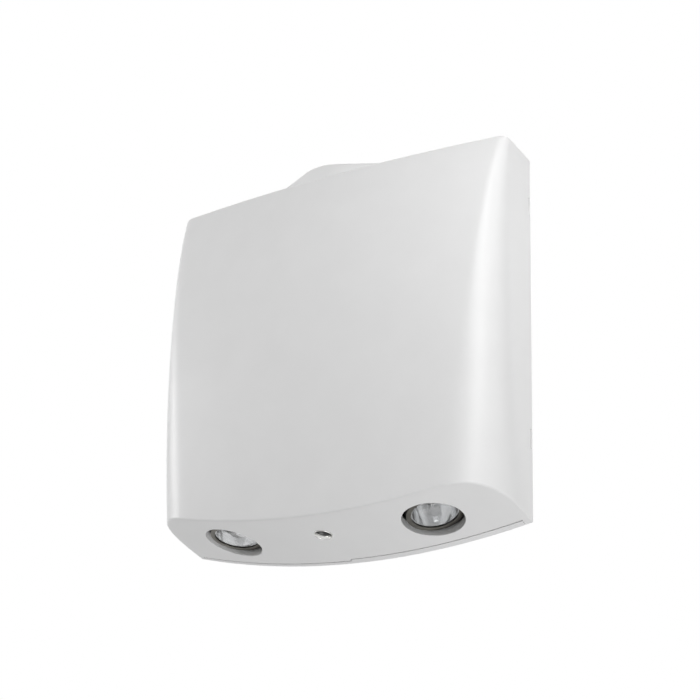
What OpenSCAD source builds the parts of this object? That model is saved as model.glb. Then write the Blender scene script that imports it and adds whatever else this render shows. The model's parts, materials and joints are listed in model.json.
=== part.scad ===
// Wall-mounted emergency light with two recessed reflector lamps in its underside.
// +X is to the right seen from the room, +Y goes into the wall, +Z is up.
// The origin is on the wall face of the back plate, in the middle of its four wall holes.

/* [Case] */
// Width of the case across its lower rear corners
case_w = 270; // [262:1:280]
// Width that the case gains from its lower corners to its top edge
top_gain = 12.6; // [0:0.2:16]
// Height of the case at its sides
case_h = 271; // [262:1:285]
// Depth of the front face at its lower edge
front_d = 69; // [66:0.5:76]
// Depth of the case at its top corners
side_d = 40.3; // [38:0.1:44]
// Depth of the flat part of the side face at its lower end
low_flat_d = 5.4; // [4:0.1:12]
// Depth of the flat side at its upper end
top_flat_d = 35; // [33:0.5:38]
// Forward bulge of the front face at the middle of its top edge
top_bulge = 8; // [2:0.5:12]
// Width of the rounded front corner at the bottom
low_corner_w = 37.4; // [25:0.2:42]
// Width of the rounded front corner at the top
top_corner_w = 7; // [4:0.2:9]
// Drop of the curved bottom edge below the lower corners
bottom_sag = 15.3; // [12:0.1:18]
// Upward tilt of the bottom face towards the room
bottom_tilt = 14.8; // [12:0.2:17]
// Wall of the cover
wall = 3; // [2.6:0.1:3.4]

/* [Front face form] */
// Exponent of the height in the curve of the front face
face_power = 2.73; // [2:0.01:3.5]
// Exponent of the whole curve of the front face
face_root = 0.77; // [0.6:0.01:1]
// Exponent of the rounded corner in plan
corner_power = 2.4; // [2:0.1:3]
// Exponent of the bulge over the height
bulge_power = 0.73; // [0.5:0.01:1.5]
// Exponent of the growth of the flat side face
flat_power = 3.9; // [2:0.1:5]

/* [Back plate] */
// Thickness of the back plate
plate_t = 2.5; // [2:0.1:3.5]
// Gap between the back plate and the cover around it
plate_gap = 0.4; // [0.3:0.05:0.8]
// Height of the rim that stands forward from the back plate
rim_h = 6; // [5:0.5:6.5]
// Thickness of the rim
rim_t = 1.8; // [1.5:0.1:2]
// Width of the gasket channel outside the rim
channel_w = 3.2; // [2.8:0.1:3.4]
// Thickness of the bottom lip on the right half
lip_right_t = 5.4; // [4:0.1:6]
// Thickness of the bottom lip on the left half
lip_left_t = 3.4; // [2.6:0.1:5]
// Distance of the lip ends from the side faces
lip_end = 5.4; // [4.5:0.1:8]
// Depth of the snap windows in the rear edge of the side faces
snap_d = 3; // [2.4:0.1:4]
// Height of a snap window
snap_h = 13; // [9:0.5:16]
// Distance of the upper snap windows from the top of the case
snap_top_in = 40.5; // [30:0.5:55]
// Distance of the lower snap windows from the lower corners of the case
snap_low_in = 56.5; // [45:0.5:65]
// Distance of the four wall holes from the sides of the case
wall_hole_side = 30; // [28:0.5:32]
// Distance of the four wall holes from the top and the lower corners of the case
wall_hole_end = 60.5; // [57:0.5:64]
// Radius of the wall holes
wall_hole_r = 2.6; // [2.1:0.1:3]
// Spacing of the two holes for a single switch box
box_hole_z = 83.3; // [80:0.1:88]
// Radius of the switch box holes
box_hole_r = 2.2; // [1.8:0.1:2.6]
// Radius of the cable hole in the middle of the back plate
cable_hole_r = 10; // [8:0.5:11]

/* [Gasket] */
// Thickness of the gasket in its channel
gasket_t = 3; // [2:0.5:4]
// Gap between the gasket and the walls of its channel
gasket_gap = 0.3; // [0.3:0.05:0.6]

/* [Conduit hub] */
// Height of the hub above the top of the case
hub_h = 15; // [12:0.5:18]
// Sideways place of the hub, measured from the middle of the case
hub_x = -14; // [-18:0.5:14]
// Depth of the front of the hub
hub_d = 41.9; // [40:0.1:44]
// Radius of the rounded nose of the hub
hub_nose_r = 34; // [30:0.5:36]
// Half of the width of the hub
hub_half_w = 47; // [42:0.5:52]
// Angle of the hub's flanks to the wall
hub_flank_a = 26; // [22:1:30]
// Rounding of the hub's upper edge
hub_round = 3; // [1.5:0.1:4]
// Radius of the tapped conduit hole
hub_bore_r = 9.75; // [8:0.05:10.5]
// Wall of the hub's throat around the conduit hole
hub_throat_t = 3; // [2.5:0.1:4]
// Length of the throat below the top face of the case
hub_throat_l = 12; // [8:0.5:16]
// Depth of the conduit hole's axis in front of the wall
hub_axis_d = 20; // [18.5:0.1:22]
// Width of the hub's fixing tab
hub_tab_w = 60; // [56:1:70]
// Length of the fixing tab below the top face of the case
hub_tab_l = 28; // [24:1:34]
// Thickness of the fixing tab
hub_tab_t = 3; // [2:0.1:4]
// Gap around the hub where it passes through the cover
hub_gap = 0.5; // [0.4:0.05:1]

/* [Lamps] */
// Distance of each lamp's middle from the side of the case
lamp_in = 55.2; // [52:0.2:58]
// Shift of the lamps towards the room from the middle of the bottom face
lamp_shift = 2.6; // [1.8:0.1:3.8]
// Radius of the lamp openings
lamp_hole_r = 21.1; // [20.9:0.1:22]
// Wall of the collar around a lamp opening
collar_t = 2; // [1.5:0.1:2.4]
// Depth of the collar
collar_h = 6; // [4.5:0.1:6.4]
// Depth of the lamp's rim inside its opening
lamp_recess = 4.4; // [3.8:0.1:5]
// Radius of the reflector lamp
lamp_r = 17.65; // [17.2:0.05:17.8]
// Height of the lamp's rim
lamp_rim_h = 2.6; // [2.2:0.1:3]
// Width of the ledge behind the lamp's rim
lamp_ledge_w = 1.45; // [1.2:0.05:1.8]
// Depth of the reflector behind the rim
reflector_h = 17.4; // [15:0.1:19]
// Radius of the reflector's neck
neck_r = 5.5; // [5:0.1:6]
// Thickness of the reflector glass
reflector_t = 1.2; // [1:0.1:1.4]
// Thickness of the lamp's front glass
lens_t = 1.2; // [0.8:0.1:1.3]
// Gap around the lamp's front glass
lens_gap = 0.15; // [0.1:0.05:0.25]
// Width of the rim around the front glass
rim_lip_w = 0.5; // [0.4:0.05:0.8]
// Depth of the front glass behind the front of the rim
lens_set = 0.2; // [0.1:0.05:0.4]
// Radius of the bulb capsule
bulb_r = 3.4; // [2.5:0.1:3.6]
// Length of the bulb capsule
bulb_h = 14; // [11:0.5:15]
// Width of the lamp's ceramic base
base_w = 11; // [10:0.5:12]
// Thickness of the lamp's ceramic base
base_t = 8; // [7:0.5:9]
// Height of the lamp's ceramic base
base_h = 8.6; // [7:0.1:10]
// Radius of a lamp pin
pin_r = 0.5; // [0.4:0.05:0.6]
// Distance between the two lamp pins
pin_pitch = 4; // [3.6:0.1:5.3]
// Length of a lamp pin
pin_h = 6; // [5:0.5:7]
// Gap around a lamp pin in its socket
pin_gap = 0.1; // [0.05:0.05:0.15]

/* [Lamp holders] */
// Gap between the lamp's rim and the lamp ring
ring_gap = 0.3; // [0.2:0.05:0.35]
// Wall of the lamp ring
ring_t = 1.25; // [1:0.05:1.3]
// Height of the lamp ring
ring_h = 9.6; // [9:0.1:10.2]
// Thickness of the shoulder that the lamp's rim rests on
shoulder_t = 1.6; // [1.2:0.1:2]
// Depth of the lamp's pivot inside the bottom face
pivot_z = 12; // [11.6:0.1:12.3]
// Angle by which both lamps are aimed to the right at rest, seen from the room
lamp_aim = 9; // [-15:1:15]
// Radius of a pivot screw
pivot_r = 1.5; // [1.3:0.05:1.6]
// Running gap between a pivot screw and the lamp ring
pivot_gap = 0.05; // [0.03:0.01:0.08]
// Radius of the pivot pads on the lamp ring
pad_r = 2.9; // [2.5:0.1:3]
// Height of a pivot pad above the lamp ring's wall
pad_h = 0.8; // [0.6:0.1:1]
// Length of a pivot pad inside the lamp ring's wall
pad_in_h = 1.3; // [1:0.1:1.4]
// Running gap between a pivot pad and its post
post_gap = 0.4; // [0.3:0.05:0.5]
// Thickness of a pivot post
post_t = 3.2; // [2.5:0.1:3.6]
// Width of a pivot post
post_w = 8; // [7:0.5:9]
// Height of a pivot post above the pivot
post_over = 4; // [3.5:0.1:5]
// Radius of a pivot screw's head
pivot_head_r = 2.6; // [2.2:0.1:2.8]
// Height of a pivot screw's head
pivot_head_h = 1.6; // [1.2:0.1:2]
// Width of the two clips of the retaining ring
clip_w = 4; // [3:0.2:5]
// Thickness of the retaining ring and its clips
clip_t = 0.4; // [0.3:0.05:0.5]
// Length of a clip along the lamp ring
clip_h = 4; // [3:0.1:4.4]
// Reach of the retaining ring over the lamp's rim
clip_reach = 1.65; // [1.4:0.05:1.9]
// Gap between a clip and the lamp ring
clip_gap = 0.1; // [0.05:0.05:0.2]
// Width of a lamp socket
socket_w = 15; // [13:0.5:17]
// Thickness of a lamp socket
socket_t = 9; // [8:0.5:11]
// Height of a lamp socket
socket_h = 11; // [9:0.5:13]
// Gap between the lamp's base and its socket
socket_gap = 0.3; // [0.2:0.05:0.5]

/* [Test button] */
// Shift of the button towards the room from the middle of the bottom face
button_shift = 9; // [6:0.1:11]
// Radius of the bezel's flange
bezel_r = 6.65; // [6.5:0.05:7]
// Height of the bezel's flange outside the bottom face
bezel_h = 0.6; // [0.4:0.1:0.8]
// Width of the bezel's flat rim
bezel_rim_w = 0.75; // [0.6:0.05:0.9]
// Depth of the dished mouth behind the rim
dish_d = 2.4; // [2:0.1:2.6]
// Radius of the bezel's barrel
barrel_r = 6; // [5.9:0.05:6.2]
// Length of the bezel's barrel inside the case
barrel_h = 14; // [12.5:0.5:16]
// Gap between the barrel and its hole in the cover
barrel_gap = 0.2; // [0.1:0.05:0.3]
// Radius of the button
button_r = 4.8; // [4.6:0.05:4.9]
// Sliding gap around the button
button_gap = 0.1; // [0.05:0.01:0.15]
// Drop of the button's crown behind the front of the bezel
button_set = 2.2; // [2:0.1:2.6]
// Height of the button's crown
button_crown = 0.3; // [0.2:0.1:0.4]
// Length of the button
button_h = 6.1; // [5.8:0.1:6.4]
// Radius of the button's flange
flange_r = 5.4; // [5.3:0.05:5.5]
// Thickness of the button's flange
flange_t = 1.2; // [1:0.1:1.6]
// Distance from the bottom face to the stop inside the barrel
stop_z = 4.6; // [4:0.1:5]
// Travel of the button
button_travel = 1.5; // [1:0.1:1.8]
// Distance across the flats of the bezel's nut
nut_af = 17; // [16:0.5:19]
// Thickness of the bezel's nut
nut_t = 3; // [2.5:0.1:4]
// Gap between the bezel's nut and the curved wall
nut_gap = 0.2; // [0.15:0.05:0.4]
// Radius of the spring's wire
spring_wire_r = 0.35; // [0.25:0.05:0.4]
// Number of curls of the spring
spring_curls = 5; // [3:1:6]
// Width of the test switch
switch_w = 14; // [13.6:0.1:15]
// Height of the test switch
switch_h = 10; // [8:0.5:13]
// Radius of the indicator light
led_r = 1.5; // [1:0.1:1.6]
// Height of the indicator light
led_h = 3.2; // [2:0.1:3.4]

/* [Battery] */
// Depth of the battery
battery_d = 46; // [40:0.5:47]
// Distance of the battery's inner side from the middle of the case
battery_x = 15; // [14:0.5:18]
// Distance between the battery and the cover's side
battery_side = 17; // [15:0.5:25]
// Distance of the battery's top below the top of the case
battery_drop = 110.5; // [106:0.5:115]
// Distance of the battery's underside above the lower corners of the case
battery_low = 90.5; // [89:0.5:97]
// Height of the battery's lid
lid_h = 4; // [3:0.5:6]
// Step in from the battery's case to its lid
lid_in = 1; // [0.5:0.1:1.5]
// Thickness of a blade terminal
blade_t = 0.8; // [0.6:0.1:1]
// Width of a blade terminal
blade_w = 6.3; // [4.8:0.1:6.4]
// Height of a blade terminal
blade_h = 7; // [5:0.5:8]
// Width of the battery strap
strap_w = 18; // [12:1:22]
// Thickness of the battery strap
strap_t = 1; // [0.8:0.1:1.4]
// Gap between the strap and the battery
strap_gap = 0.3; // [0.3:0.05:0.5]
// Length of the strap's feet
strap_foot = 10; // [9:0.5:11]

/* [Electronics] */
// Thickness of the circuit board
board_t = 1.6; // [1.2:0.1:2]
// Distance of the board's inner edge from the middle of the case
board_x = 16; // [15:0.5:18]
// Distance between the board and the cover's side
board_side = 16; // [14:0.5:22]
// Distance of the board's top edge below the top of the case
board_drop = 91.5; // [88:0.5:96]
// Distance of the board's lower edge above the lower corners of the case
board_low = 95.5; // [90:0.5:99]
// Height of the posts under the board
board_post_h = 7; // [5:0.5:9]
// Radius of the posts under the board
board_post_r = 3.2; // [2.8:0.1:3.6]
// Distance of the board's holes from its edges
board_hole_in = 5; // [4:0.5:6]
// Radius of a small screw
screw_r = 1.5; // [1.2:0.1:1.6]
// Gap around a small screw
screw_gap = 0.08; // [0.05:0.01:0.15]
// Radius of a small screw's head
screw_head_r = 2.8; // [2.4:0.1:3]
// Height of a small screw's head
screw_head_h = 1.8; // [1.4:0.1:2.2]
// Width of the transformer's core
core_w = 48; // [42:1:52]
// Height of the transformer's core
core_h = 40; // [34:1:42]
// Depth of the transformer's core
core_d = 18; // [14:0.5:20]
// Width of a limb of the transformer's core
limb_w = 8; // [7:0.5:9]
// Depth of the transformer's coil
coil_d = 30; // [24:0.5:31]
// Gap between the coil and the core
coil_gap = 0.3; // [0.3:0.05:0.5]
// Distance of the transformer's middle from the side of the case
core_side = 67; // [63:0.5:69]
// Distance of the transformer's middle below the top of the case
core_drop = 63.5; // [61:0.5:67]
// Width of the feet at the transformer's sides
core_foot = 8; // [8:0.5:10]
// Thickness of the transformer's feet
core_foot_t = 1.5; // [1.2:0.1:2]
// Radius of a capacitor
cap_r = 6; // [4:0.5:7]
// Height of a capacitor
cap_h = 16; // [12:0.5:20]
// Width of the relay
relay_w = 19; // [15:0.5:22]
// Height of the relay on the board
relay_h = 15; // [12:0.5:17]
// Depth of the relay
relay_d = 15; // [12:0.5:17]
// Width of a plug connector on the board
plug_w = 10; // [8:0.5:12]
// Height of a plug connector on the board
plug_h = 6; // [5:0.5:8]
// Depth of a plug connector
plug_d = 9; // [7:0.5:10]
// Gap between two plug connectors, and from a connector to the edge of the board
plug_gap = 1; // [0.5:0.1:2]
// Distance between the relay and the fuse
fuse_gap = 11; // [8:0.5:14]
// Radius of the fuse
fuse_r = 2.6; // [2:0.1:3]
// Length of the fuse
fuse_l = 20; // [16:0.5:22]
// Width of the terminal block
block_w = 32; // [26:0.5:36]
// Height of the terminal block
block_h = 14; // [12:0.5:16]
// Depth of the terminal block
block_d = 15; // [12:0.5:17]
// Distance of the terminal block's middle from the side of the case
block_side = 69; // [63:0.5:75]
// Distance of the terminal block's middle below the top of the case
block_drop = 60.5; // [54:0.5:65]
// Radius of a lead
lead_r = 0.9; // [0.7:0.05:1.1]
// Length of a lead's straight ends
lead_end = 4; // [3:0.5:5]

/* [Hidden] */
$fn = 48;

// Overrun of cuts
over = 1;
// Steps of the case's form
corner_steps = 8;
front_steps = 10;
level_steps = 26;
// Steps of a lead's curve between two of its points, and its sides
lead_steps = 4;
lead_sides = 8;
spring_sides = 6;
spring_steps = 12;
// Facets of the large bottom curve
bottom_fn = 360;
// Angle of a quarter turn
quarter = 90;
// A direction that no lead runs along
aside = [0.35, 0.55, 0.76];

// Bottom curve of the case
low_z = -case_h / 2 - bottom_sag;
sag_n = bottom_sag * cos(bottom_tilt);
bottom_r = (pow(case_w / 2, 2) + pow(sag_n, 2)) / (2 * sag_n);
top_z = case_h / 2;

// Places in the case, from its middle
bottom_mid_run = front_d / cos(bottom_tilt) / 2;
lamp_run = bottom_mid_run + lamp_shift;
lamp_x = case_w / 2 - lamp_in;
button_run = bottom_mid_run + button_shift;
wall_hole_x = case_w - 2 * wall_hole_side;
wall_hole_z = case_h - 2 * wall_hole_end;
battery_w = case_w / 2 - wall - battery_side - battery_x;
battery_h = case_h - battery_low - battery_drop;
battery_top_z = top_z - battery_drop;
board_w = case_w / 2 - wall - board_side - board_x;
board_h = case_h - board_low - board_drop;
board_top_z = top_z - board_drop;
core_x = case_w / 2 - core_side;
core_z = top_z - core_drop;
block_x = case_w / 2 - block_side;
block_z = top_z - block_drop;

// Outline of the case at a height
function up_share(z) = max(0, min(1, z / case_h + 1 / 2));
function half_w_at(z) = case_w / 2 + top_gain / 2 * up_share(z);
function face_at(z) = side_d
    + (front_d - side_d) * pow(1 - pow(up_share(z), face_power), face_root);
function corner_at(z) = low_corner_w + (top_corner_w - low_corner_w) * up_share(z);
function flat_at(z) = top_flat_d - (top_flat_d - low_flat_d) * pow(1 - up_share(z), flat_power);
function bulge_at(z) = top_bulge * pow(up_share(z), bulge_power);

// One point of the outline: a is the angle round the corner from the side to the front
function edge_pt(z, inset, side, a) = let (
    half = half_w_at(z) - inset,
    flat = flat_at(z) - inset,
    face = face_at(z) - inset,
    corner = corner_at(z),
    x = half - corner + corner * pow(cos(a), 2 / corner_power),
    d = flat + (face - flat) * pow(sin(a), 2 / corner_power))
    [side * x, -d - bulge_at(z) * (1 - pow(x / half, 2)), z];
function face_pt(z, inset, share) = let (
    half = half_w_at(z) - inset,
    x = (half - corner_at(z)) * share)
    [x, inset - face_at(z) - bulge_at(z) * (1 - pow(x / half, 2)), z];
function outline_at(z, inset, rear) = concat(
    [[half_w_at(z) - inset, rear, z], [inset - half_w_at(z), rear, z]],
    [for (i = [0 : corner_steps]) edge_pt(z, inset, -1, quarter * i / corner_steps)],
    [for (i = [1 : front_steps - 1]) face_pt(z, inset, 2 * i / front_steps - 1)],
    [for (i = [corner_steps : -1 : 0]) edge_pt(z, inset, 1, quarter * i / corner_steps)]);

// Closed solid through rings of points that go round anticlockwise seen from the last ring
module ring_solid(rings) {
    n = len(rings[0]);
    m = len(rings);
    polyhedron(
        points = [for (ring = rings) each ring],
        faces = concat(
            [[for (i = [0 : n - 1]) i]],
            [for (k = [0 : m - 2]) for (i = [0 : n - 1])
                [k * n + i, k * n + n + i, k * n + n + (i + 1) % n]],
            [for (k = [0 : m - 2]) for (i = [0 : n - 1])
                [k * n + i, k * n + n + (i + 1) % n, k * n + (i + 1) % n]],
            [[for (i = [n - 1 : -1 : 0]) (m - 1) * n + i]]));
}

// The frame of the bottom face: x and y follow the face, z goes up into the case.
// Its origin is at a distance x from the middle and at a run from the rear edge.
module on_bottom(x, run) {
    translate([0, 0, low_z]) rotate([-bottom_tilt, 0, 0]) translate([0, -run, bottom_r])
        rotate([0, -asin(x / bottom_r), 0]) translate([0, 0, -bottom_r]) children();
}

module bottom_round(inset) {
    translate([0, 0, low_z]) rotate([-bottom_tilt, 0, 0]) translate([0, 0, bottom_r])
        rotate([90, 0, 0]) cylinder(r = bottom_r - inset, h = 2 * case_h, center = true,
            $fn = bottom_fn);
}

// The whole body of the case, smaller all round by an inset
module case_body(inset, rear) {
    foot = low_z - over;
    intersection() {
        ring_solid([for (k = [0 : level_steps]) let (
            share = (k / level_steps + sin(quarter * k / level_steps)) / 2)
            outline_at(foot + (top_z - inset - foot) * share, inset, rear)]);
        bottom_round(inset);
    }
}

// A slab of the rear of the case, smaller all round by an inset
module rear_slab(inset, depth) {
    half = half_w_at(-top_z) - inset;
    half_top = half_w_at(top_z) - inset;
    intersection() {
        rotate([90, 0, 0]) linear_extrude(height = depth) polygon([
            [-half, low_z - over], [half, low_z - over], [half, -top_z],
            [half_top, top_z - inset], [-half_top, top_z - inset], [-half, -top_z]]);
        bottom_round(inset);
    }
}

// Puts children on the front face of the back plate, with z towards the room
module on_plate(x, z) {
    translate([x, -plate_t, z]) rotate([90, 0, 0]) children();
}

// Both sides of a pair
module both() {
    for (side = [-1, 1]) scale([side, 1, 1]) children();
}

module box_at(x, y, z, size) {
    translate([x, y, z]) translate([-size[0] / 2, -size[1] / 2, 0]) cube(size);
}

// Pan head screw along z: the seat of its head is at zero and its tip is below
module screw(r, tip, head_r, head_h) {
    slot_w = head_r / 3;
    difference() {
        union() {
            translate([0, 0, -tip]) cylinder(r = r, h = tip + head_h / 2);
            cylinder(r = head_r, h = head_h);
        }
        translate([-head_r, -slot_w / 2, head_h / 2])
            cube([2 * head_r, slot_w, head_h]);
    }
}

// Places of the snap windows
snap_zs = [snap_low_in - top_z, top_z - snap_top_in];

module snap_windows(gap) {
    for (side = [-1, 1]) for (z = snap_zs)
        translate([side * half_w_at(z), 0, z])
            cube([2 * (wall + plate_gap + over), 2 * (snap_d + gap), snap_h + 2 * gap],
                center = true);
}

// The strip of the bottom wall that the lip of the back plate fills
module lip_strip(gap) {
    half = case_w / 2 - lip_end + gap;
    translate([-half, -lip_left_t - gap, low_z - over])
        cube([half, lip_left_t + gap + over, bottom_sag + 2 * over + wall]);
    translate([-gap, -lip_right_t - gap, low_z - over])
        cube([half + gap, lip_right_t + gap + over, bottom_sag + 2 * over + wall]);
}

// Space that the hub's throat and tab need in the walls round them
throat_r = hub_bore_r + hub_throat_t;
module hub_space(gap) {
    tall = 2 * hub_throat_l;
    translate([hub_x, -hub_axis_d, top_z - hub_throat_l - gap])
        cylinder(r = throat_r + gap, h = tall);
    translate([hub_x - throat_r - gap, -hub_axis_d, top_z - hub_throat_l - gap])
        cube([2 * (throat_r + gap), hub_axis_d + over, tall]);
    translate([hub_x - hub_tab_w / 2 - gap, -plate_t - hub_tab_t - gap,
            top_z - hub_tab_l - gap])
        cube([hub_tab_w + 2 * gap, plate_t + hub_tab_t + gap + over, 2 * hub_tab_l]);
}

// Pivot posts of one lamp
pad_top = lamp_r + ring_gap + ring_t + pad_h;
post_in = pad_top + post_gap;
module pivot_posts() {
    foot = wall / 2;
    for (side = [-1, 1])
        translate([-post_w / 2, side < 0 ? -post_in - post_t : post_in, foot])
            cube([post_w, post_t, pivot_z + post_over - foot]);
}

module front_cover() color("white") {
    difference() {
        union() {
            difference() {
                case_body(0, 0);
                case_body(wall, over);
            }
            intersection() {
                bottom_round(0);
                both() on_bottom(lamp_x, lamp_run) {
                    translate([0, 0, -over])
                        cylinder(r = lamp_hole_r + collar_t, h = collar_h + over);
                    pivot_posts();
                }
            }
        }
        both() on_bottom(lamp_x, lamp_run) {
            translate([0, 0, -over]) cylinder(r = lamp_hole_r, h = collar_h + 2 * over);
            translate([0, 0, pivot_z]) rotate([90, 0, 0])
                cylinder(r = pivot_r + pivot_gap, h = 4 * lamp_r, center = true);
        }
        on_bottom(0, button_run) translate([0, 0, -over])
            cylinder(r = barrel_r + barrel_gap, h = wall + 2 * over);
        lip_strip(plate_gap);
        snap_windows(plate_gap);
        hub_space(hub_gap);
    }
}

// Insets of the back plate's rim and of the gasket's channel
plate_in = wall + plate_gap;
rim_in = plate_in + channel_w;

// Places of the board's holes
board_mid_x = board_x + board_w / 2;
board_mid_z = board_top_z - board_h / 2;
board_hole_dx = board_w / 2 - board_hole_in;
board_hole_dz = board_h / 2 - board_hole_in;
module at_board_holes() {
    for (i = [-1, 1]) for (j = [-1, 1])
        on_plate(board_mid_x + i * board_hole_dx, board_mid_z + j * board_hole_dz) children();
}

// Places of the strap's screws, above and below the battery
battery_mid_x = -battery_x - battery_w / 2;
battery_mid_z = battery_top_z - battery_h / 2;
strap_screw_dz = battery_h / 2 + strap_gap + strap_t + strap_foot / 2;
module at_strap_screws() {
    for (j = [-1, 1]) on_plate(battery_mid_x, battery_mid_z + j * strap_screw_dz) children();
}

// Places of the transformer's screws, at its sides
core_screw_dx = core_w / 2 + core_foot / 2;
module at_core_screws() {
    for (i = [-1, 1]) on_plate(-core_x + i * core_screw_dx, core_z) children();
}

// Places of the hub's screws in its tab
hub_screw_dx = hub_tab_w / 2 - screw_head_r - hub_gap;
hub_screw_z = top_z - hub_tab_l + screw_head_r + hub_gap;
module at_hub_screws() {
    for (i = [-1, 1]) on_plate(hub_x + i * hub_screw_dx, hub_screw_z) children();
}

module back_plate() color("gainsboro") {
    difference() {
        union() {
            rear_slab(plate_in, plate_t);
            difference() {
                rear_slab(rim_in, plate_t + rim_h);
                rear_slab(rim_in + rim_t, plate_t + rim_h + over);
            }
            intersection() {
                lip_strip(0);
                union() {
                    rear_slab(0, plate_t);
                    difference() {
                        rear_slab(0, lip_right_t);
                        rear_slab(wall, lip_right_t + over);
                    }
                }
            }
            intersection() {
                snap_windows(0);
                rear_slab(0, plate_t);
            }
            at_board_holes() cylinder(r = board_post_r, h = board_post_h);
        }
        at_board_holes() cylinder(r = screw_r + screw_gap, h = board_post_h + over);
        at_strap_screws() screw_hole();
        at_core_screws() screw_hole();
        at_hub_screws() screw_hole();
        for (i = [-1, 1]) for (j = [-1, 1])
            through_plate(i * wall_hole_x / 2, j * wall_hole_z / 2, wall_hole_r);
        for (j = [-1, 1]) through_plate(0, j * box_hole_z / 2, box_hole_r);
        through_plate(0, 0, cable_hole_r);
        difference() {
            hub_space(hub_gap);
            translate([-case_w, -plate_t, -case_h]) cube([2 * case_w, 2 * plate_t, 2 * case_h]);
        }
    }
}

module screw_hole() {
    translate([0, 0, -plate_t - over]) cylinder(r = screw_r + screw_gap, h = plate_t + 2 * over);
}

module through_plate(x, z, r) {
    on_plate(x, z) translate([0, 0, -plate_t - over]) cylinder(r = r, h = plate_t + 2 * over);
}

module case_gasket() color("dimgray") {
    difference() {
        intersection() {
            rear_slab(plate_in + gasket_gap, plate_t + gasket_t);
            translate([-case_w, -plate_t - gasket_t, -case_h])
                cube([2 * case_w, gasket_t, 2 * case_h]);
        }
        rear_slab(rim_in - gasket_gap, plate_t + gasket_t + over);
        hub_space(hub_gap);
    }
}

// Plan of the hub: a rounded nose between straight flanks, with square sides
module hub_plan(inset) {
    nose_y = -hub_d + hub_nose_r;
    r = hub_nose_r - inset;
    half = hub_half_w - inset;
    tx = r * sin(hub_flank_a);
    ty = nose_y - r * cos(hub_flank_a);
    side_y = ty + (half - tx) * tan(hub_flank_a);
    polygon(concat([[half, 0], [half, side_y]],
        [for (i = [-corner_steps : corner_steps])
            let (a = -hub_flank_a * i / corner_steps) [r * sin(a), nose_y - r * cos(a)]],
        [[-half, side_y], [-half, 0]]));
}

module conduit_hub() color("white") {
    layer = hub_round / 10;
    difference() {
        union() {
            translate([hub_x, 0, top_z]) hull() {
                linear_extrude(height = hub_h - hub_round) hub_plan(0);
                for (i = [1 : 3]) let (a = 30 * i)
                    translate([0, 0, hub_h - hub_round + hub_round * sin(a) - layer])
                        linear_extrude(height = layer) hub_plan(hub_round * (1 - cos(a)));
            }
            translate([hub_x, -hub_axis_d, top_z - hub_throat_l])
                cylinder(r = throat_r, h = hub_throat_l + hub_round);
            translate([hub_x - hub_tab_w / 2, -plate_t - hub_tab_t, top_z - hub_tab_l])
                cube([hub_tab_w, hub_tab_t, hub_tab_l + hub_round]);
        }
        translate([hub_x, -hub_axis_d, top_z - hub_throat_l - over])
            cylinder(r = hub_bore_r, h = hub_throat_l + hub_h + 2 * over);
        at_hub_screws() cylinder(r = screw_r + screw_gap, h = hub_tab_t + over);
    }
}

module hub_screws() color("silver") {
    at_hub_screws() translate([0, 0, hub_tab_t])
        screw(screw_r, hub_tab_t + plate_t, screw_head_r, screw_head_h);
}

// Radii and heights of a lamp
ring_in_r = lamp_r + ring_gap;
ring_r = ring_in_r + ring_t;
body_r = lamp_r - lamp_ledge_w;
seat_z = lamp_recess + lamp_rim_h;
neck_z = seat_z + reflector_h;
pocket_z = lamp_recess + lens_set + lens_t;

module at_pivot(side) {
    scale([side, 1, 1]) on_bottom(lamp_x, lamp_run) children();
}

// The moving pieces of a lamp are turned about its pivot by the aim
module at_lamp(side) {
    at_pivot(side) translate([0, 0, pivot_z]) rotate([0, -side * lamp_aim, 0])
        translate([0, 0, -pivot_z]) children();
}

// Radius of the reflector at a share of its depth
function bowl_r(share, r0, r1) = r1 + (r0 - r1) * sqrt(1 - share);
bowl_steps = 10;

module lamp_ring(side) color("dimgray") {
    at_lamp(side) difference() {
        union() {
            translate([0, 0, lamp_recess]) cylinder(r = ring_r, h = ring_h);
            translate([0, 0, pivot_z]) rotate([90, 0, 0])
                cylinder(r = pad_r, h = 2 * pad_top, center = true);
        }
        translate([0, 0, lamp_recess - over]) cylinder(r = ring_in_r, h = lamp_rim_h + over);
        cylinder(r = body_r + ring_gap, h = seat_z + shoulder_t + over);
        translate([0, 0, seat_z + shoulder_t]) intersection() {
            cylinder(r = ring_in_r, h = ring_h);
            cube([3 * ring_in_r, 2 * (ring_in_r - pad_in_h), 3 * ring_h], center = true);
        }
        translate([0, 0, pivot_z]) rotate([90, 0, 0])
            cylinder(r = pivot_r + pivot_gap, h = 2 * pad_top + over, center = true);
    }
}

module reflector(side) color("silver") {
    at_lamp(side) rotate_extrude() polygon(concat(
        [[lamp_r - rim_lip_w, lamp_recess], [lamp_r, lamp_recess], [lamp_r, seat_z]],
        [for (i = [0 : bowl_steps]) let (s = i / bowl_steps)
            [bowl_r(s, body_r, neck_r), seat_z + reflector_h * s]],
        [for (i = [bowl_steps : -1 : 0]) let (s = i / bowl_steps)
            [bowl_r(s, body_r - reflector_t, neck_r - reflector_t),
                pocket_z + (neck_z - pocket_z) * s]],
        [[lamp_r - rim_lip_w, pocket_z]]));
}

module front_glass(side) color("lightblue", 0.4) {
    at_lamp(side) translate([0, 0, lamp_recess + lens_set])
        cylinder(r = lamp_r - rim_lip_w - lens_gap, h = lens_t);
}

module bulb(side) color("lightyellow", 0.6) {
    at_lamp(side) translate([0, 0, neck_z - bulb_h]) rotate_extrude() polygon(concat(
        [[0, 0]],
        [for (a = [15 : 15 : 90]) [bulb_r * sin(a), bulb_r * (1 - cos(a))]],
        [[bulb_r, bulb_h], [0, bulb_h]]));
}

module lamp_base(side) color("whitesmoke") {
    at_lamp(side) {
        box_at(0, 0, neck_z, [base_w, base_t, base_h]);
        for (i = [-1, 1]) translate([i * pin_pitch / 2, 0, neck_z + base_h])
            cylinder(r = pin_r, h = pin_h);
    }
}

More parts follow.
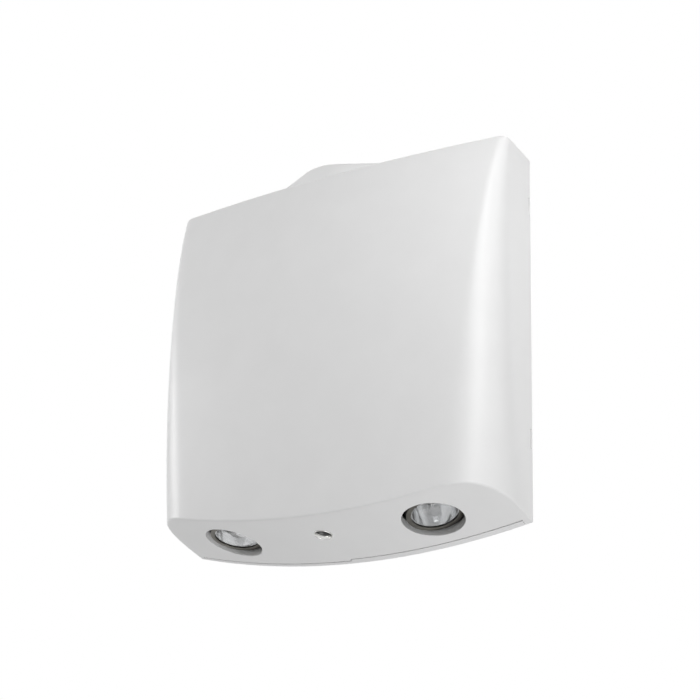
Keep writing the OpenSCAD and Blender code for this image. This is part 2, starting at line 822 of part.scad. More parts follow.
module lamp_socket(side) color("ivory") {
    at_lamp(side) difference() {
        box_at(0, 0, neck_z + base_h + socket_gap, [socket_w, socket_t, socket_h]);
        for (i = [-1, 1]) translate([i * pin_pitch / 2, 0, neck_z + base_h])
            cylinder(r = pin_r + pin_gap, h = pin_h + socket_gap);
    }
}

module lamp_retainer(side) color("dimgray") {
    leg_y = ring_r + clip_gap;
    at_lamp(side) translate([0, 0, lamp_recess - clip_t]) {
        difference() {
            union() {
                cylinder(r = ring_r, h = clip_t);
                translate([-clip_w / 2, -leg_y - clip_t, 0])
                    cube([clip_w, 2 * (leg_y + clip_t), clip_t]);
            }
            translate([0, 0, -over]) cylinder(r = lamp_r - clip_reach, h = clip_t + 2 * over);
        }
        for (i = [-1, 1]) scale([1, i, 1]) translate([-clip_w / 2, leg_y, 0])
            cube([clip_w, clip_t, clip_h + clip_t]);
    }
}

module pivot_screws(side) color("silver") {
    at_pivot(side) for (i = [-1, 1]) scale([1, i, 1])
        translate([0, post_in + post_t, pivot_z]) rotate([-90, 0, 0])
            screw(pivot_r, post_t + post_gap + pad_h + ring_t + pad_in_h,
                pivot_head_r, pivot_head_h);
}

// Smooth route through a list of points, with straight ends
function route_pt(p, i, t) = let (a = p[i - 1], b = p[i], c = p[i + 1], d = p[i + 2])
    b + t * ((c - a) / 2 + t * (a - 5 / 2 * b + 2 * c - d / 2 + t * ((d - a + 3 * (b - c)) / 2)));
function route(p) = concat(
    [p[0]],
    [for (i = [1 : len(p) - 3]) for (k = [0 : lead_steps - 1]) route_pt(p, i, k / lead_steps)],
    [p[len(p) - 2], p[len(p) - 1]]);
function unit(v) = v / norm(v);
function along(p, i) = unit(p[min(i + 1, len(p) - 1)] - p[max(i - 1, 0)]);

// Round tube along a route
module tube(path, r, sides, ref) {
    ring_solid([for (i = [0 : len(path) - 1]) let (
        t = along(path, i), u = unit(cross(t, ref)), v = cross(t, u))
        [for (k = [0 : sides - 1]) let (a = 360 * k / sides)
            path[i] + r * (u * cos(a) + v * sin(a))]]);
}

// A point of the bottom face's frame, in the frame of the case
function bottom_pt(x0, run, p) = let (
    t = asin(x0 / bottom_r),
    x = p[0] * cos(t) - (p[2] - bottom_r) * sin(t),
    y = p[1] - run,
    z = p[0] * sin(t) + (p[2] - bottom_r) * cos(t) + bottom_r)
    [x, y * cos(bottom_tilt) + z * sin(bottom_tilt),
        z * cos(bottom_tilt) - y * sin(bottom_tilt) + low_z];

// Places of the plugs on the board, from its middle, and of a lead at one of them
plug_dz = board_h / 2 - plug_h / 2 - plug_gap;
function plug_dx(k) = 2 * board_hole_in + plug_w / 2 - board_w / 2 + k * (plug_w + plug_gap);
function plug_pt(k, up, i, out) = [
    board_mid_x + plug_dx(k) + (i - 1 / 2) * plug_w / 2,
    -plate_t - board_post_h - board_t - plug_d / 2,
    board_mid_z + up * (plug_dz + plug_h / 2 + out)];

// Middle points of the leads' routes, and the shift of the second lead of each pair
near_lamp_route = [[56, -18, -62], [66, -21, -78]];
near_lamp_shift = [4, 0, 0];
far_lamp_route = [[34, -11, -50], [10, -8, -55], [-30, -8, -59], [-62, -16, -72]];
far_lamp_shift = [0, 0, -4];
switch_route = [[25, -20, -54], [10, -28, -78], [0, -33, -94]];
switch_shift = [6, 0, 0];
battery_route = [[48, -17, 54], [20, -22, 58], [-14, -25, 53]];
battery_shift = [0, 0, 4];

// A pair of leads from a plug through the middle points to two ends
module leads(k, up, points, shift, ends, last) {
    for (i = [0, 1]) tube(route(concat(
        [plug_pt(k, up, i, 0), plug_pt(k, up, i, lead_end)],
        [for (p = points) p + i * shift],
        [ends[i] + last, ends[i]])), lead_r, lead_sides, aside);
}

function mirrored(p) = [-p[0], p[1], p[2]];
socket_end_z = neck_z + base_h + socket_gap + socket_h;
// A point of a lead at the socket, turned with the lamp's aim
function socket_pt(aim, i, out) = let (
    x = (i - 1 / 2) * pin_pitch,
    z = socket_end_z + out - pivot_z)
    bottom_pt(lamp_x, lamp_run,
        [x * cos(aim) - z * sin(aim), 0, pivot_z + x * sin(aim) + z * cos(aim)]);
function socket_out(aim) = socket_pt(aim, 0, lead_end) - socket_pt(aim, 0, 0);

module lamp_leads(side) color("firebrick") {
    if (side > 0) leads(2, -1, near_lamp_route, near_lamp_shift,
        [socket_pt(lamp_aim, 0, 0), socket_pt(lamp_aim, 1, 0)], socket_out(lamp_aim));
    else leads(1, -1, far_lamp_route, far_lamp_shift,
        [mirrored(socket_pt(-lamp_aim, 1, 0)), mirrored(socket_pt(-lamp_aim, 0, 0))],
        mirrored(socket_out(-lamp_aim)));
}

function switch_pt(i, out) = bottom_pt(0, button_run,
    [(i - 1 / 2) * switch_w / 2, 0, barrel_h + switch_h + blade_w + out]);

module switch_leads() color("steelblue") {
    leads(0, -1, switch_route, switch_shift, [switch_pt(0, 0), switch_pt(1, 0)],
        switch_pt(0, lead_end) - switch_pt(0, 0));
}

module battery_leads() color("firebrick") {
    leads(2, 1, battery_route, battery_shift, [for (x = blade_xs)
        [battery_mid_x + x, -plate_t - battery_d / 2, battery_top_z + blade_h]],
        [0, 0, lead_end]);
}

module button_bezel() color("silver") {
    on_bottom(0, button_run) rotate_extrude() polygon([
        [button_r + button_gap, dish_d - bezel_h], [bezel_r - bezel_rim_w, -bezel_h],
        [bezel_r - bezel_h / 2, -bezel_h], [bezel_r, -bezel_h / 2], [bezel_r, 0],
        [barrel_r, 0], [barrel_r, barrel_h],
        [flange_r + button_gap, barrel_h], [flange_r + button_gap, stop_z],
        [button_r + button_gap, stop_z]]);
}

module bezel_nut() color("silver") {
    on_bottom(0, button_run) translate([0, 0, wall + nut_gap]) difference() {
        cylinder(r = nut_af / 2 / cos(30), h = nut_t, $fn = 6);
        translate([0, 0, -over]) cylinder(r = barrel_r + barrel_gap, h = nut_t + 2 * over);
    }
}

// Depths of the test button and its switch in the frame of the bottom face
crown_z = button_set - bezel_h;
flange_z = stop_z + button_gap;
flange_end_z = flange_z + flange_t;
button_end_z = crown_z + button_h;

module test_button() color("gray") {
    on_bottom(0, button_run) rotate_extrude() polygon(concat(
        [for (i = [0 : corner_steps]) let (s = i / corner_steps)
            [button_r * s, crown_z + button_crown * s * s]],
        [[button_r, flange_z], [flange_r, flange_z], [flange_r, flange_end_z],
            [button_r / 2, flange_end_z], [button_r / 2, button_end_z], [0, button_end_z]]));
}

module button_spring() color("silver") {
    r = flange_r - spring_wire_r - 2 * button_gap;
    z0 = flange_end_z + spring_wire_r + button_gap;
    z1 = barrel_h - spring_wire_r - button_gap;
    turns = spring_curls * spring_steps;
    on_bottom(0, button_run) tube([for (i = [0 : turns]) let (a = 360 * i / spring_steps)
        [r * cos(a), r * sin(a), z0 + (z1 - z0) * i / turns]], spring_wire_r, spring_sides,
        [0, 0, 1]);
}

module test_switch() color("black") {
    post_h = barrel_h - button_end_z - button_travel - button_gap;
    on_bottom(0, button_run) {
        box_at(0, 0, barrel_h, [switch_w, switch_w, switch_h]);
        for (i = [-1, 1]) translate([i * (led_r + spring_wire_r + button_gap), 0,
                barrel_h - post_h])
            cylinder(r = spring_wire_r, h = post_h + over);
        for (i = [-1, 1]) box_at(i * switch_w / 4, 0, barrel_h + switch_h,
            [blade_t, switch_w / 4, blade_w]);
    }
}

module indicator_light() color("green") {
    tall = min(led_h, barrel_h - button_end_z - button_travel - button_gap);
    on_bottom(0, button_run) translate([0, 0, barrel_h - tall]) rotate_extrude() polygon(concat(
        [for (i = [0 : corner_steps]) let (a = quarter * i / corner_steps)
            [led_r * sin(a), led_r * (1 - cos(a))]],
        [[led_r, tall], [0, tall]]));
}

// The battery lies on the back plate
module at_battery() {
    on_plate(battery_mid_x, battery_mid_z) children();
}

module battery() color("slategray") {
    at_battery() {
        box_at(0, -lid_h / 2, 0, [battery_w, battery_h - lid_h, battery_d]);
        box_at(0, (battery_h - lid_h) / 2, lid_in,
            [battery_w - 2 * lid_in, lid_h, battery_d - 2 * lid_in]);
    }
}

blade_xs = [battery_w / 2 - 2 * blade_w, battery_w / 2 - 4 * blade_w];
module battery_terminals() color("goldenrod") {
    at_battery() for (x = blade_xs)
        translate([x - blade_w / 2, battery_h / 2, (battery_d - blade_t) / 2])
            cube([blade_w, blade_h, blade_t]);
}

module battery_strap() color("silver") {
    reach = battery_h / 2 + strap_gap;
    high = battery_d + strap_gap;
    at_battery() difference() {
        union() {
            translate([-strap_w / 2, -reach - strap_t, high])
                cube([strap_w, 2 * (reach + strap_t), strap_t]);
            for (j = [-1, 1]) scale([1, j, 1]) translate([-strap_w / 2, reach, 0]) {
                cube([strap_w, strap_t, high + strap_t]);
                cube([strap_w, strap_t + strap_foot, strap_t]);
            }
        }
        for (j = [-1, 1]) translate([0, j * strap_screw_dz, -over])
            cylinder(r = screw_r + screw_gap, h = strap_t + 2 * over);
    }
}

module strap_screws() color("silver") {
    at_strap_screws() translate([0, 0, strap_t])
        screw(screw_r, strap_t + plate_t, screw_head_r, screw_head_h);
}

// Puts children on the front face of the circuit board, from its middle
module on_board(x, z) {
    on_plate(board_mid_x + x, board_mid_z + z) translate([0, 0, board_post_h + board_t])
        children();
}

module circuit_board() color("darkgreen") {
    difference() {
        on_plate(board_mid_x, board_mid_z)
            box_at(0, 0, board_post_h, [board_w, board_h, board_t]);
        at_board_holes() translate([0, 0, board_post_h - over])
            cylinder(r = screw_r + screw_gap, h = board_t + 2 * over);
    }
}

module board_screws() color("silver") {
    at_board_holes() translate([0, 0, board_post_h + board_t])
        screw(screw_r, board_t + board_post_h / 2, screw_head_r, screw_head_h);
}

module capacitors() color("black") {
    for (i = [0, 1]) on_board(board_w / 2 - 2 * cap_r - board_hole_in,
            (i == 0 ? 1 : -1) * 3 / 2 * cap_r) {
        cylinder(r = cap_r, h = cap_h);
    }
}

module relay() color("royalblue") {
    on_board(0, 0) box_at(0, 0, 0, [relay_w, relay_d, relay_h]);
}

module board_plugs() color("ivory") {
    for (k = [0, 1, 2]) on_board(plug_dx(k), -plug_dz) box_at(0, 0, 0, [plug_w, plug_h, plug_d]);
    on_board(plug_dx(2), plug_dz) box_at(0, 0, 0, [plug_w, plug_h, plug_d]);
}

module fuse() color("lightgray") {
    clip_l = fuse_l / 5;
    on_board(0, relay_d / 2 + fuse_gap + fuse_r) {
        translate([-fuse_l / 2, 0, 2 * fuse_r]) rotate([0, 90, 0])
            cylinder(r = fuse_r, h = fuse_l);
        for (i = [-1, 1]) box_at(i * (fuse_l - clip_l) / 2, 0, 0,
            [clip_l, 2 * fuse_r, 2 * fuse_r]);
    }
}

module transformer_core() color("dimgray") {
    on_plate(-core_x, core_z) difference() {
        union() {
            box_at(0, 0, (coil_d - core_d) / 2 + core_foot_t, [core_w, core_h, core_d]);
            for (i = [-1, 1]) {
                box_at(i * core_screw_dx, 0, 0, [core_foot, core_h / 2, core_foot_t]);
                box_at(i * (core_w - core_foot_t) / 2, 0, 0,
                    [core_foot_t, core_h / 2, coil_d / 2]);
            }
        }
        for (i = [-1, 1]) {
            box_at(i * (core_w / 4 - limb_w / 4), 0, -over,
                [core_w / 2 - 3 / 2 * limb_w, core_h - 2 * limb_w, coil_d + core_foot_t]);
            translate([i * core_screw_dx, 0, -over])
                cylinder(r = screw_r + screw_gap, h = core_foot_t + 2 * over);
        }
    }
}

module transformer_coil() color("goldenrod") {
    wide = core_w - 2 * limb_w - 2 * coil_gap;
    tall = core_h - 2 * limb_w - 2 * coil_gap;
    on_plate(-core_x, core_z) difference() {
        box_at(0, 0, core_foot_t, [wide, tall, coil_d]);
        box_at(0, 0, (coil_d - core_d) / 2 + core_foot_t - coil_gap,
            [limb_w + 2 * coil_gap, core_h, core_d + 2 * coil_gap]);
    }
}

module transformer_screws() color("silver") {
    at_core_screws() translate([0, 0, core_foot_t])
        screw(screw_r, core_foot_t + plate_t, screw_head_r, screw_head_h);
}

module at_poles() {
    for (i = [-1, 0, 1]) on_plate(block_x + i * block_w / 3, block_z)
        translate([0, 0, block_d]) children();
}

module terminal_block() color("whitesmoke") {
    difference() {
        on_plate(block_x, block_z) box_at(0, 0, 0, [block_w, block_h, block_d]);
        at_poles() translate([0, 0, -block_d / 2])
            cylinder(r = screw_head_r + screw_gap, h = block_d);
    }
}

module terminal_screws() color("goldenrod") {
    at_poles() translate([0, 0, -block_d / 2]) difference() {
        cylinder(r = screw_head_r, h = screw_head_h);
        translate([-screw_head_r, -screw_r / 3, screw_head_h / 2])
            cube([2 * screw_head_r, 2 * screw_r / 3, screw_head_h]);
    }
}

front_cover();
back_plate();
case_gasket();
conduit_hub();
hub_screws();
lamp_ring(-1);  // left_lamp_ring
reflector(-1);  // left_reflector
front_glass(-1);  // left_front_glass
bulb(-1);  // left_bulb
lamp_base(-1);  // left_lamp_base
lamp_socket(-1);  // left_lamp_socket
lamp_retainer(-1);  // left_lamp_retainer
pivot_screws(-1);  // left_pivot_screws
lamp_leads(-1);  // left_lamp_leads
lamp_ring(1);  // right_lamp_ring
reflector(1);  // right_reflector
front_glass(1);  // right_front_glass
bulb(1);  // right_bulb
lamp_base(1);  // right_lamp_base
lamp_socket(1);  // right_lamp_socket
lamp_retainer(1);  // right_lamp_retainer
pivot_screws(1);  // right_pivot_screws
lamp_leads(1);  // right_lamp_leads
button_bezel();
bezel_nut();
test_button();
button_spring();
test_switch();
indicator_light();
switch_leads();
battery();
battery_terminals();
battery_strap();
strap_screws();
battery_leads();
circuit_board();
capacitors();
relay();
board_plugs();
fuse();
board_screws();
transformer_core();
transformer_coil();
transformer_screws();
terminal_block();
terminal_screws();
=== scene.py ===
"""Looks of a wall-mounted emergency light: the smooth cover, hub, lamps and button in studio light.

It is laid out as an add-on and run as a script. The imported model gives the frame, the bodies and
the plain solids; the pieces made here stand for the solids whose surfaces need more than CAD gives.
"""

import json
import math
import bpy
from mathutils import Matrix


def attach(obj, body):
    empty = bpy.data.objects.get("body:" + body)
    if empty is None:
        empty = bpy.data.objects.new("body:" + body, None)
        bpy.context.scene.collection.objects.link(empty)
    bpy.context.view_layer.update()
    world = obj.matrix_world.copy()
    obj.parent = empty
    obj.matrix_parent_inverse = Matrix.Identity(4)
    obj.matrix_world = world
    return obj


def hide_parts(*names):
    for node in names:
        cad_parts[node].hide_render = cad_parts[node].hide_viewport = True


bl_info = {
    "name": "Emergency light looks",
    "version": (1, 0, 0),
    "blender": (4, 5, 0),
    "location": "3D View > Sidebar > Emergency light",
    "description": "Builds the visible pieces of a wall-mounted emergency light and its studio",
    "category": "Object",
}

import bpy
import numpy as np
from bpy.props import FloatProperty, FloatVectorProperty, IntProperty, PointerProperty
from mathutils import Matrix, Vector

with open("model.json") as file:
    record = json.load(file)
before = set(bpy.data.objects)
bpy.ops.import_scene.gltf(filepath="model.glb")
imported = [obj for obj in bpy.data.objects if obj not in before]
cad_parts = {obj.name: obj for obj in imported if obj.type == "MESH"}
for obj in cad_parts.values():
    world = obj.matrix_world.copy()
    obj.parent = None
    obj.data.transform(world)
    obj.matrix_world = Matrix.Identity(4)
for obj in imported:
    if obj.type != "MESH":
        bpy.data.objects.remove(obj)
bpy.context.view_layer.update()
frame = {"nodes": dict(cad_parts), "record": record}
MM = 0.001


def length(name, text, millimetres):
    """A size in metres with its name, what it is and its default in millimetres."""
    return FloatProperty(
        name=name, description=text, default=millimetres * MM, unit="LENGTH", precision=5
    )


def share(name, text, value):
    """A plain number such as an exponent, with its default."""
    return FloatProperty(name=name, description=text, default=value)


def tilt(name, text, degrees):
    """An angle with its name, what it is and its default in degrees."""
    return FloatProperty(
        name=name, description=text, default=math.radians(degrees), subtype="ANGLE"
    )


def linear(code):
    """An sRGB hex colour such as E8E8E8 as linear red, green and blue."""
    parts = np.array([int(code[i : i + 2], 16) / 255 for i in (0, 2, 4)])
    parts = np.where(parts <= 0.04045, parts / 12.92, ((parts + 0.055) / 1.055) ** 2.4)
    return tuple(float(v) for v in parts)


def colour(name, text, code):
    """A colour of a finish, given as an sRGB hex value."""
    return FloatVectorProperty(
        name=name, description=text, subtype="COLOR", size=3, min=0, max=1, default=linear(code)
    )


class CaseForm(bpy.types.PropertyGroup):
    """Sizes of the cover: those of the solid it stands for, and the roundings made only here."""

    case_w: length("Width", "Width across the lower rear corners", 270)
    top_gain: length("Gain at the top", "Width gained from the lower corners to the top", 12.6)
    case_h: length("Height", "Height of the case at its sides", 271)
    front_d: length("Lower depth", "Depth of the front face at its lower edge", 69)
    side_d: length("Upper depth", "Depth at the top corners", 40.3)
    low_flat_d: length("Flat side depth", "Depth of the flat side at its lower end", 5.4)
    top_flat_d: length("Upper flat depth", "Depth of the flat side at its upper end", 35)
    top_bulge: length("Bulge", "Forward bulge at the middle of the top edge", 8)
    low_corner_w: length("Lower corner", "Width of the rounded front corner at the bottom", 37.4)
    top_corner_w: length("Upper corner", "Width of the rounded front corner at the top", 7)
    bottom_sag: length("Bottom sag", "Drop of the curved bottom below the lower corners", 15.3)
    bottom_tilt: tilt("Bottom tilt", "Upward tilt of the bottom face", 14.8)
    wall: length("Wall", "Wall of the cover", 3)
    edge_r: length("Edge rounding", "Rounding between the bottom face and the walls", 1.1)
    top_r: length("Top rounding", "Rounding of the upper edge", 3.5)
    mouth_r: length("Mouth rounding", "Rounding of the lamp openings", 0.6)
    face_power: share("Face power", "Exponent of the height in the front curve", 2.73)
    face_root: share("Face root", "Exponent of the whole front curve", 0.77)
    corner_power: share("Corner power", "Exponent of the rounded corner in plan", 2.4)
    bulge_power: share("Bulge power", "Exponent of the bulge over the height", 0.73)
    flat_power: share("Flat power", "Exponent of the growth of the flat side", 3.9)


class LampForm(bpy.types.PropertyGroup):
    """Sizes of the two recessed lamps and their openings."""

    side_in: length("Inset", "Distance of each lamp's middle from the side of the case", 55.2)
    shift: length("Shift", "Shift of the lamps towards the room from the middle", 2.6)
    hole_r: length("Opening", "Radius of a lamp opening", 21.1)
    collar_t: length("Collar", "Wall of the collar round an opening", 2)
    collar_h: length("Collar height", "Depth of the collar", 6)
    recess: length("Recess", "Depth of the lamp's rim inside its opening", 4.4)
    lamp_r: length("Lamp radius", "Radius of the reflector lamp", 17.65)
    rim_h: length("Rim height", "Height of the lamp's rim", 2.6)
    ledge_w: length("Ledge", "Width of the ledge behind the rim", 1.45)
    bowl_h: length("Bowl", "Depth of the reflector behind the rim", 17.4)
    neck_r: length("Neck", "Radius of the reflector's neck", 5.5)
    glass_t: length("Reflector glass", "Thickness of the reflector glass", 1.2)
    lens_t: length("Front glass", "Thickness of the front glass", 1.2)
    lip_w: length("Rim lip", "Width of the rim round the front glass", 0.5)
    lens_set: length("Glass set", "Depth of the front glass behind the rim", 0.2)
    bulb_r: length("Bulb", "Radius of the bulb capsule", 3.4)
    bulb_h: length("Bulb length", "Length of the bulb capsule", 14)
    ring_gap: length("Ring gap", "Gap between the rim and the lamp ring", 0.3)
    ring_t: length("Ring wall", "Wall of the lamp ring", 1.25)
    retainer_in: length("Retainer reach", "Reach of the retaining ring over the rim", 1.65)
    retainer_t: length("Retainer", "Thickness of the retaining ring and its clips", 0.4)
    clip_w: length("Clip width", "Width of the two clips", 4)
    clip_h: length("Clip length", "Length of the clips along the lamp ring", 4)
    clip_gap: length("Clip gap", "Gap between a clip and the lamp ring", 0.1)
    pivot_z: length("Pivot", "Depth of the pivot inside the bottom face", 12)
    aim: tilt("Aim", "Angle by which both lamps are aimed to the right at rest", 9)
    flutes: IntProperty(name="Flutes", description="Flutes round the reflector", default=26)
    flute_d: length("Flute depth", "Depth of the reflector's flutes", 0.03)


class ButtonForm(bpy.types.PropertyGroup):
    """Sizes of the test button and its bezel."""

    shift: length("Shift", "Shift of the button towards the room from the middle", 9)
    bezel_r: length("Bezel", "Radius of the bezel's flange", 6.65)
    bezel_h: length("Bezel height", "Height of the flange outside the bottom face", 0.6)
    rim_w: length("Bezel rim", "Width of the bezel's flat rim", 0.75)
    dish_d: length("Dish", "Depth of the dished mouth behind the rim", 2.4)
    barrel_r: length("Barrel", "Radius of the bezel's barrel", 6)
    barrel_h: length("Barrel length", "Length of the barrel inside the case", 14)
    barrel_gap: length("Barrel gap", "Gap between the barrel and its hole", 0.2)
    button_r: length("Button", "Radius of the button", 4.8)
    button_gap: length("Button gap", "Sliding gap round the button", 0.1)
    button_set: length("Button set", "Drop of the crown behind the bezel's front", 2.2)
    crown: length("Crown", "Height of the button's crown", 0.3)
    button_h: length("Button length", "Length of the button", 6.1)
    flange_r: length("Button flange", "Radius of the button's flange", 5.4)
    flange_t: length("Flange thickness", "Thickness of the button's flange", 1.2)
    stop_z: length("Stop", "Distance from the bottom face to the stop", 4.6)


class HubForm(bpy.types.PropertyGroup):
    """Sizes of the conduit hub on top."""

    x: length("Place", "Sideways place of the hub", -14)
    h: length("Height", "Height above the top of the case", 15)
    d: length("Depth", "Depth of the front of the hub", 41.9)
    nose_r: length("Nose", "Radius of the rounded nose", 34)
    half_w: length("Half width", "Half of the width of the hub", 47)
    flank: tilt("Flank", "Angle of the flanks to the wall", 26)
    round_r: length("Rounding", "Rounding of the upper edge", 3)
    bore_r: length("Bore", "Radius of the conduit hole", 9.75)
    axis_d: length("Axis depth", "Distance of the conduit hole from the wall", 20)
    throat_t: length("Throat", "Wall of the throat round the conduit hole", 3)
    throat_l: length("Throat length", "Length of the throat below the top of the case", 12)
    tab_w: length("Tab", "Width of the fixing tab", 60)
    tab_l: length("Tab length", "Length of the fixing tab", 28)
    tab_t: length("Tab thickness", "Thickness of the fixing tab", 3)
    gap: length("Gap", "Gap round the hub where it passes through the cover", 0.5)


class PlateForm(bpy.types.PropertyGroup):
    """Sizes of the back plate that the cover has to clear."""

    plate_t: length("Plate", "Thickness of the back plate", 2.5)
    gap: length("Gap", "Gap between the back plate and the cover", 0.4)
    seam: length("Seam", "Gap that shows between the lip and the cover", 1)
    lip_right: length("Right lip", "Thickness of the lip on the right half", 5.4)
    lip_left: length("Left lip", "Thickness of the lip on the left half", 3.4)
    lip_end: length("Lip end", "Distance of the lip ends from the sides", 5.4)
    snap_d: length("Snap depth", "Depth of the snap windows", 3)
    snap_h: length("Snap height", "Height of a snap window", 13)
    snap_top_in: length("Upper snap", "Distance of the upper windows from the top", 40.5)
    snap_low_in: length("Lower snap", "Distance of the lower windows from the corners", 56.5)


class Finishes(bpy.types.PropertyGroup):
    """Colours of the finishes."""

    powder: colour("Powder coat", "Satin white powder coat of cover and hub", "E8E8E8")
    powder_shade: colour("Powder coat shade", "Slightly deeper tone in the same coat", "E6E6E6")
    bezel: colour("Bezel", "Bright nickel plate", "D6D6D4")
    mirror: colour("Mirror", "Vapour-deposited mirror coat", "E2E3E4")
    holder: colour("Holder", "Heat-proof black plastic", "1E1E1D")
    # Near-black button tone: partly the dark smoke plastic, partly painted shade of the recess in
    # the bezel
    button: colour("Button", "Dark smoke plastic", "101010")


# ---------------------------------------------------------------- meshes


def closed_faces(count_rows, count_columns):
    """Quads of a grid whose columns close on themselves."""
    r = np.arange(count_rows - 1)[:, None] * count_columns
    c = np.arange(count_columns)[None, :]
    n = (c + 1) % count_columns
    quads = np.stack([r + c, r + n, r + n + count_columns, r + c + count_columns], axis=-1)
    return quads.reshape(-1, 4).tolist()


def signed_volume(points, faces):
    """Volume inside the faces by the sum of corner tetrahedra, negative if they point inwards."""
    total = 0.0
    sizes = {len(f) for f in faces}
    for n in sizes:
        f = np.array([g for g in faces if len(g) == n])
        for k in range(1, n - 1):
            a, b, c = points[f[:, 0]], points[f[:, k]], points[f[:, k + 1]]
            total += float(np.einsum("ij,ij->", a, np.cross(b, c))) / 6
    return total


def new_piece(name, points, faces, smooth_angle=None):
    """A mesh object from points and faces, with its faces turned outwards."""
    points = np.asarray(points, dtype=float)
    if signed_volume(points, faces) < 0:
        faces = [f[::-1] for f in faces]
    mesh = bpy.data.meshes.new(name)
    mesh.from_pydata(points.tolist(), [], faces)
    mesh.validate()
    piece = bpy.data.objects.new(name, mesh)
    bpy.context.scene.collection.objects.link(piece)
    if smooth_angle is not None:
        smooth(piece, smooth_angle)
    return piece


def smooth(piece, degrees):
    """Shades a mesh smooth, with edges sharper than the angle kept sharp."""
    mesh = piece.data
    mesh.shade_smooth()
    mesh.set_sharp_from_angle(angle=math.radians(degrees))


def loft(name, rows, start="point", end="point", angle=None):
    """A closed surface through rows of points: each end is drawn to a point or is one flat face."""
    rows = [np.asarray(r, dtype=float) for r in rows]
    columns = len(rows[0])
    points = np.concatenate(rows)
    faces = closed_faces(len(rows), columns)
    for kind, first in ((start, 0), (end, (len(rows) - 1) * columns)):
        ring = list(range(first, first + columns))
        if kind == "flat":
            faces.append(ring if first else ring[::-1])
        else:
            pole = len(points)
            points = np.vstack([points, rows[0 if not first else -1].mean(axis=0)])
            turned = ring[1:] + ring[:1]
            pairs = zip(turned, ring) if not first else zip(ring, turned)
            faces += [[a, b, pole] for a, b in pairs]
    return new_piece(name, points, faces, angle)


def revolved(name, profile, matrix, steps=96, angle=30, radius=None):
    """A profile of radius and height turned round the z axis, then placed by the matrix.

    A profile that starts and ends on the axis gives a solid; any other is closed into a ring.
    radius may change each point's distance from the axis as a function of its row and angle.
    """
    profile = np.asarray(profile, dtype=float)
    solid = abs(profile[0, 0]) < 1e-9 and abs(profile[-1, 0]) < 1e-9
    body = profile[1:-1] if solid else profile
    turn = np.linspace(0, 2 * math.pi, steps, endpoint=False)
    r = np.repeat(body[:, :1], steps, axis=1)
    if radius is not None:
        r = radius(r, body, turn)
    grid = np.stack(
        [r * np.cos(turn), r * np.sin(turn), np.repeat(body[:, 1:], steps, axis=1)], axis=-1
    )
    points = grid.reshape(-1, 3)
    faces = closed_faces(len(body), steps)
    if solid:
        points = np.vstack([points, [0, 0, profile[0, 1]], [0, 0, profile[-1, 1]]])
        k = np.arange(steps)
        last = (len(body) - 1) * steps
        low = np.stack([(k + 1) % steps, k, np.full(steps, len(points) - 2)], axis=1)
        high = np.stack([last + k, last + (k + 1) % steps, np.full(steps, len(points) - 1)], axis=1)
        faces += low.tolist() + high.tolist()
    else:
        last = (len(body) - 1) * steps
        k = np.arange(steps)
        n = (k + 1) % steps
        faces += np.stack([last + k, last + n, n, k], axis=1).tolist()
    return new_piece(name, placed(points, matrix), faces, angle)


def rod(name, radius, low, high, matrix):
    """A round rod between two heights of the z axis, placed by the matrix."""
    return revolved(name, [(0, low), (radius, low), (radius, high), (0, high)], matrix)


def placed(points, matrix):
    """Points moved by a 4 by 4 matrix."""
    return np.asarray(points) @ matrix[:3, :3].T + matrix[:3, 3]


def block(name, low, high, matrix=np.eye(4)):
    """A box between two corners as a grid of two rings, placed by the matrix."""
    (a, b, c), (d, e, f) = low, high
    ring = np.array([[a, b, 0], [d, b, 0], [d, e, 0], [a, e, 0]])
    rows = [ring + [0, 0, c], ring + [0, 0, f]]
    return loft(name, [placed(r, matrix) for r in rows], "flat", "flat")


def combine(piece, tools, operation="DIFFERENCE"):
    """Cuts the tools from the piece, or joins them to it, and removes the tools."""
    for tool in tools:
        step = piece.modifiers.new("combine", "BOOLEAN")
        step.operation = operation
        step.solver = "MANIFOLD"
        step.object = tool
    graph = bpy.context.evaluated_depsgraph_get()
    result = bpy.data.meshes.new_from_object(piece.evaluated_get(graph))
    piece.modifiers.clear()
    old = piece.data
    piece.data = result
    result.name = piece.name
    bpy.data.meshes.remove(old)
    for tool in tools:
        mesh = tool.data
        bpy.data.objects.remove(tool)
        bpy.data.meshes.remove(mesh)


def arc(radius, start, stop, steps, centre=(0, 0)):
    """Points of an arc in degrees round a centre."""
    a = np.radians(np.linspace(start, stop, steps))
    return np.stack([centre[0] + radius * np.cos(a), centre[1] + radius * np.sin(a)], axis=1)


# ---------------------------------------------------------------- form of the case


def bottom_radius(f):
    """Radius of the cylinder of the bottom face, from its sag over the case's width."""
    sag = f.bottom_sag * math.cos(f.bottom_tilt)
    return ((f.case_w / 2) ** 2 + sag**2) / (2 * sag)


def low_z(f):
    """Height of the lowest point of the case, at the middle of its rear edge."""
    return -f.case_h / 2 - f.bottom_sag


def depth_inside(f, p):
    """How far points lie inside the cylinder of the bottom face."""
    r = bottom_radius(f)
    up = p[..., 1] * math.sin(f.bottom_tilt) + (p[..., 2] - low_z(f)) * math.cos(f.bottom_tilt)
    return r - np.hypot(p[..., 0], up - r)


def on_bottom(f, x, run, mirror=False):
    """Matrix of the bottom face's frame at a distance from the middle and from the rear edge.

    Its x and y follow the face and its z goes up into the case.
    """
    r = bottom_radius(f)
    m = (
        Matrix.Translation((0, 0, low_z(f)))
        @ Matrix.Rotation(-f.bottom_tilt, 4, "X")
        @ Matrix.Translation((0, -run, r))
        @ Matrix.Rotation(-math.asin(x / r), 4, "Y")
        @ Matrix.Translation((0, 0, -r))
    )
    m = np.array(m)
    return np.diag([-1.0, 1, 1, 1]) @ m if mirror else m


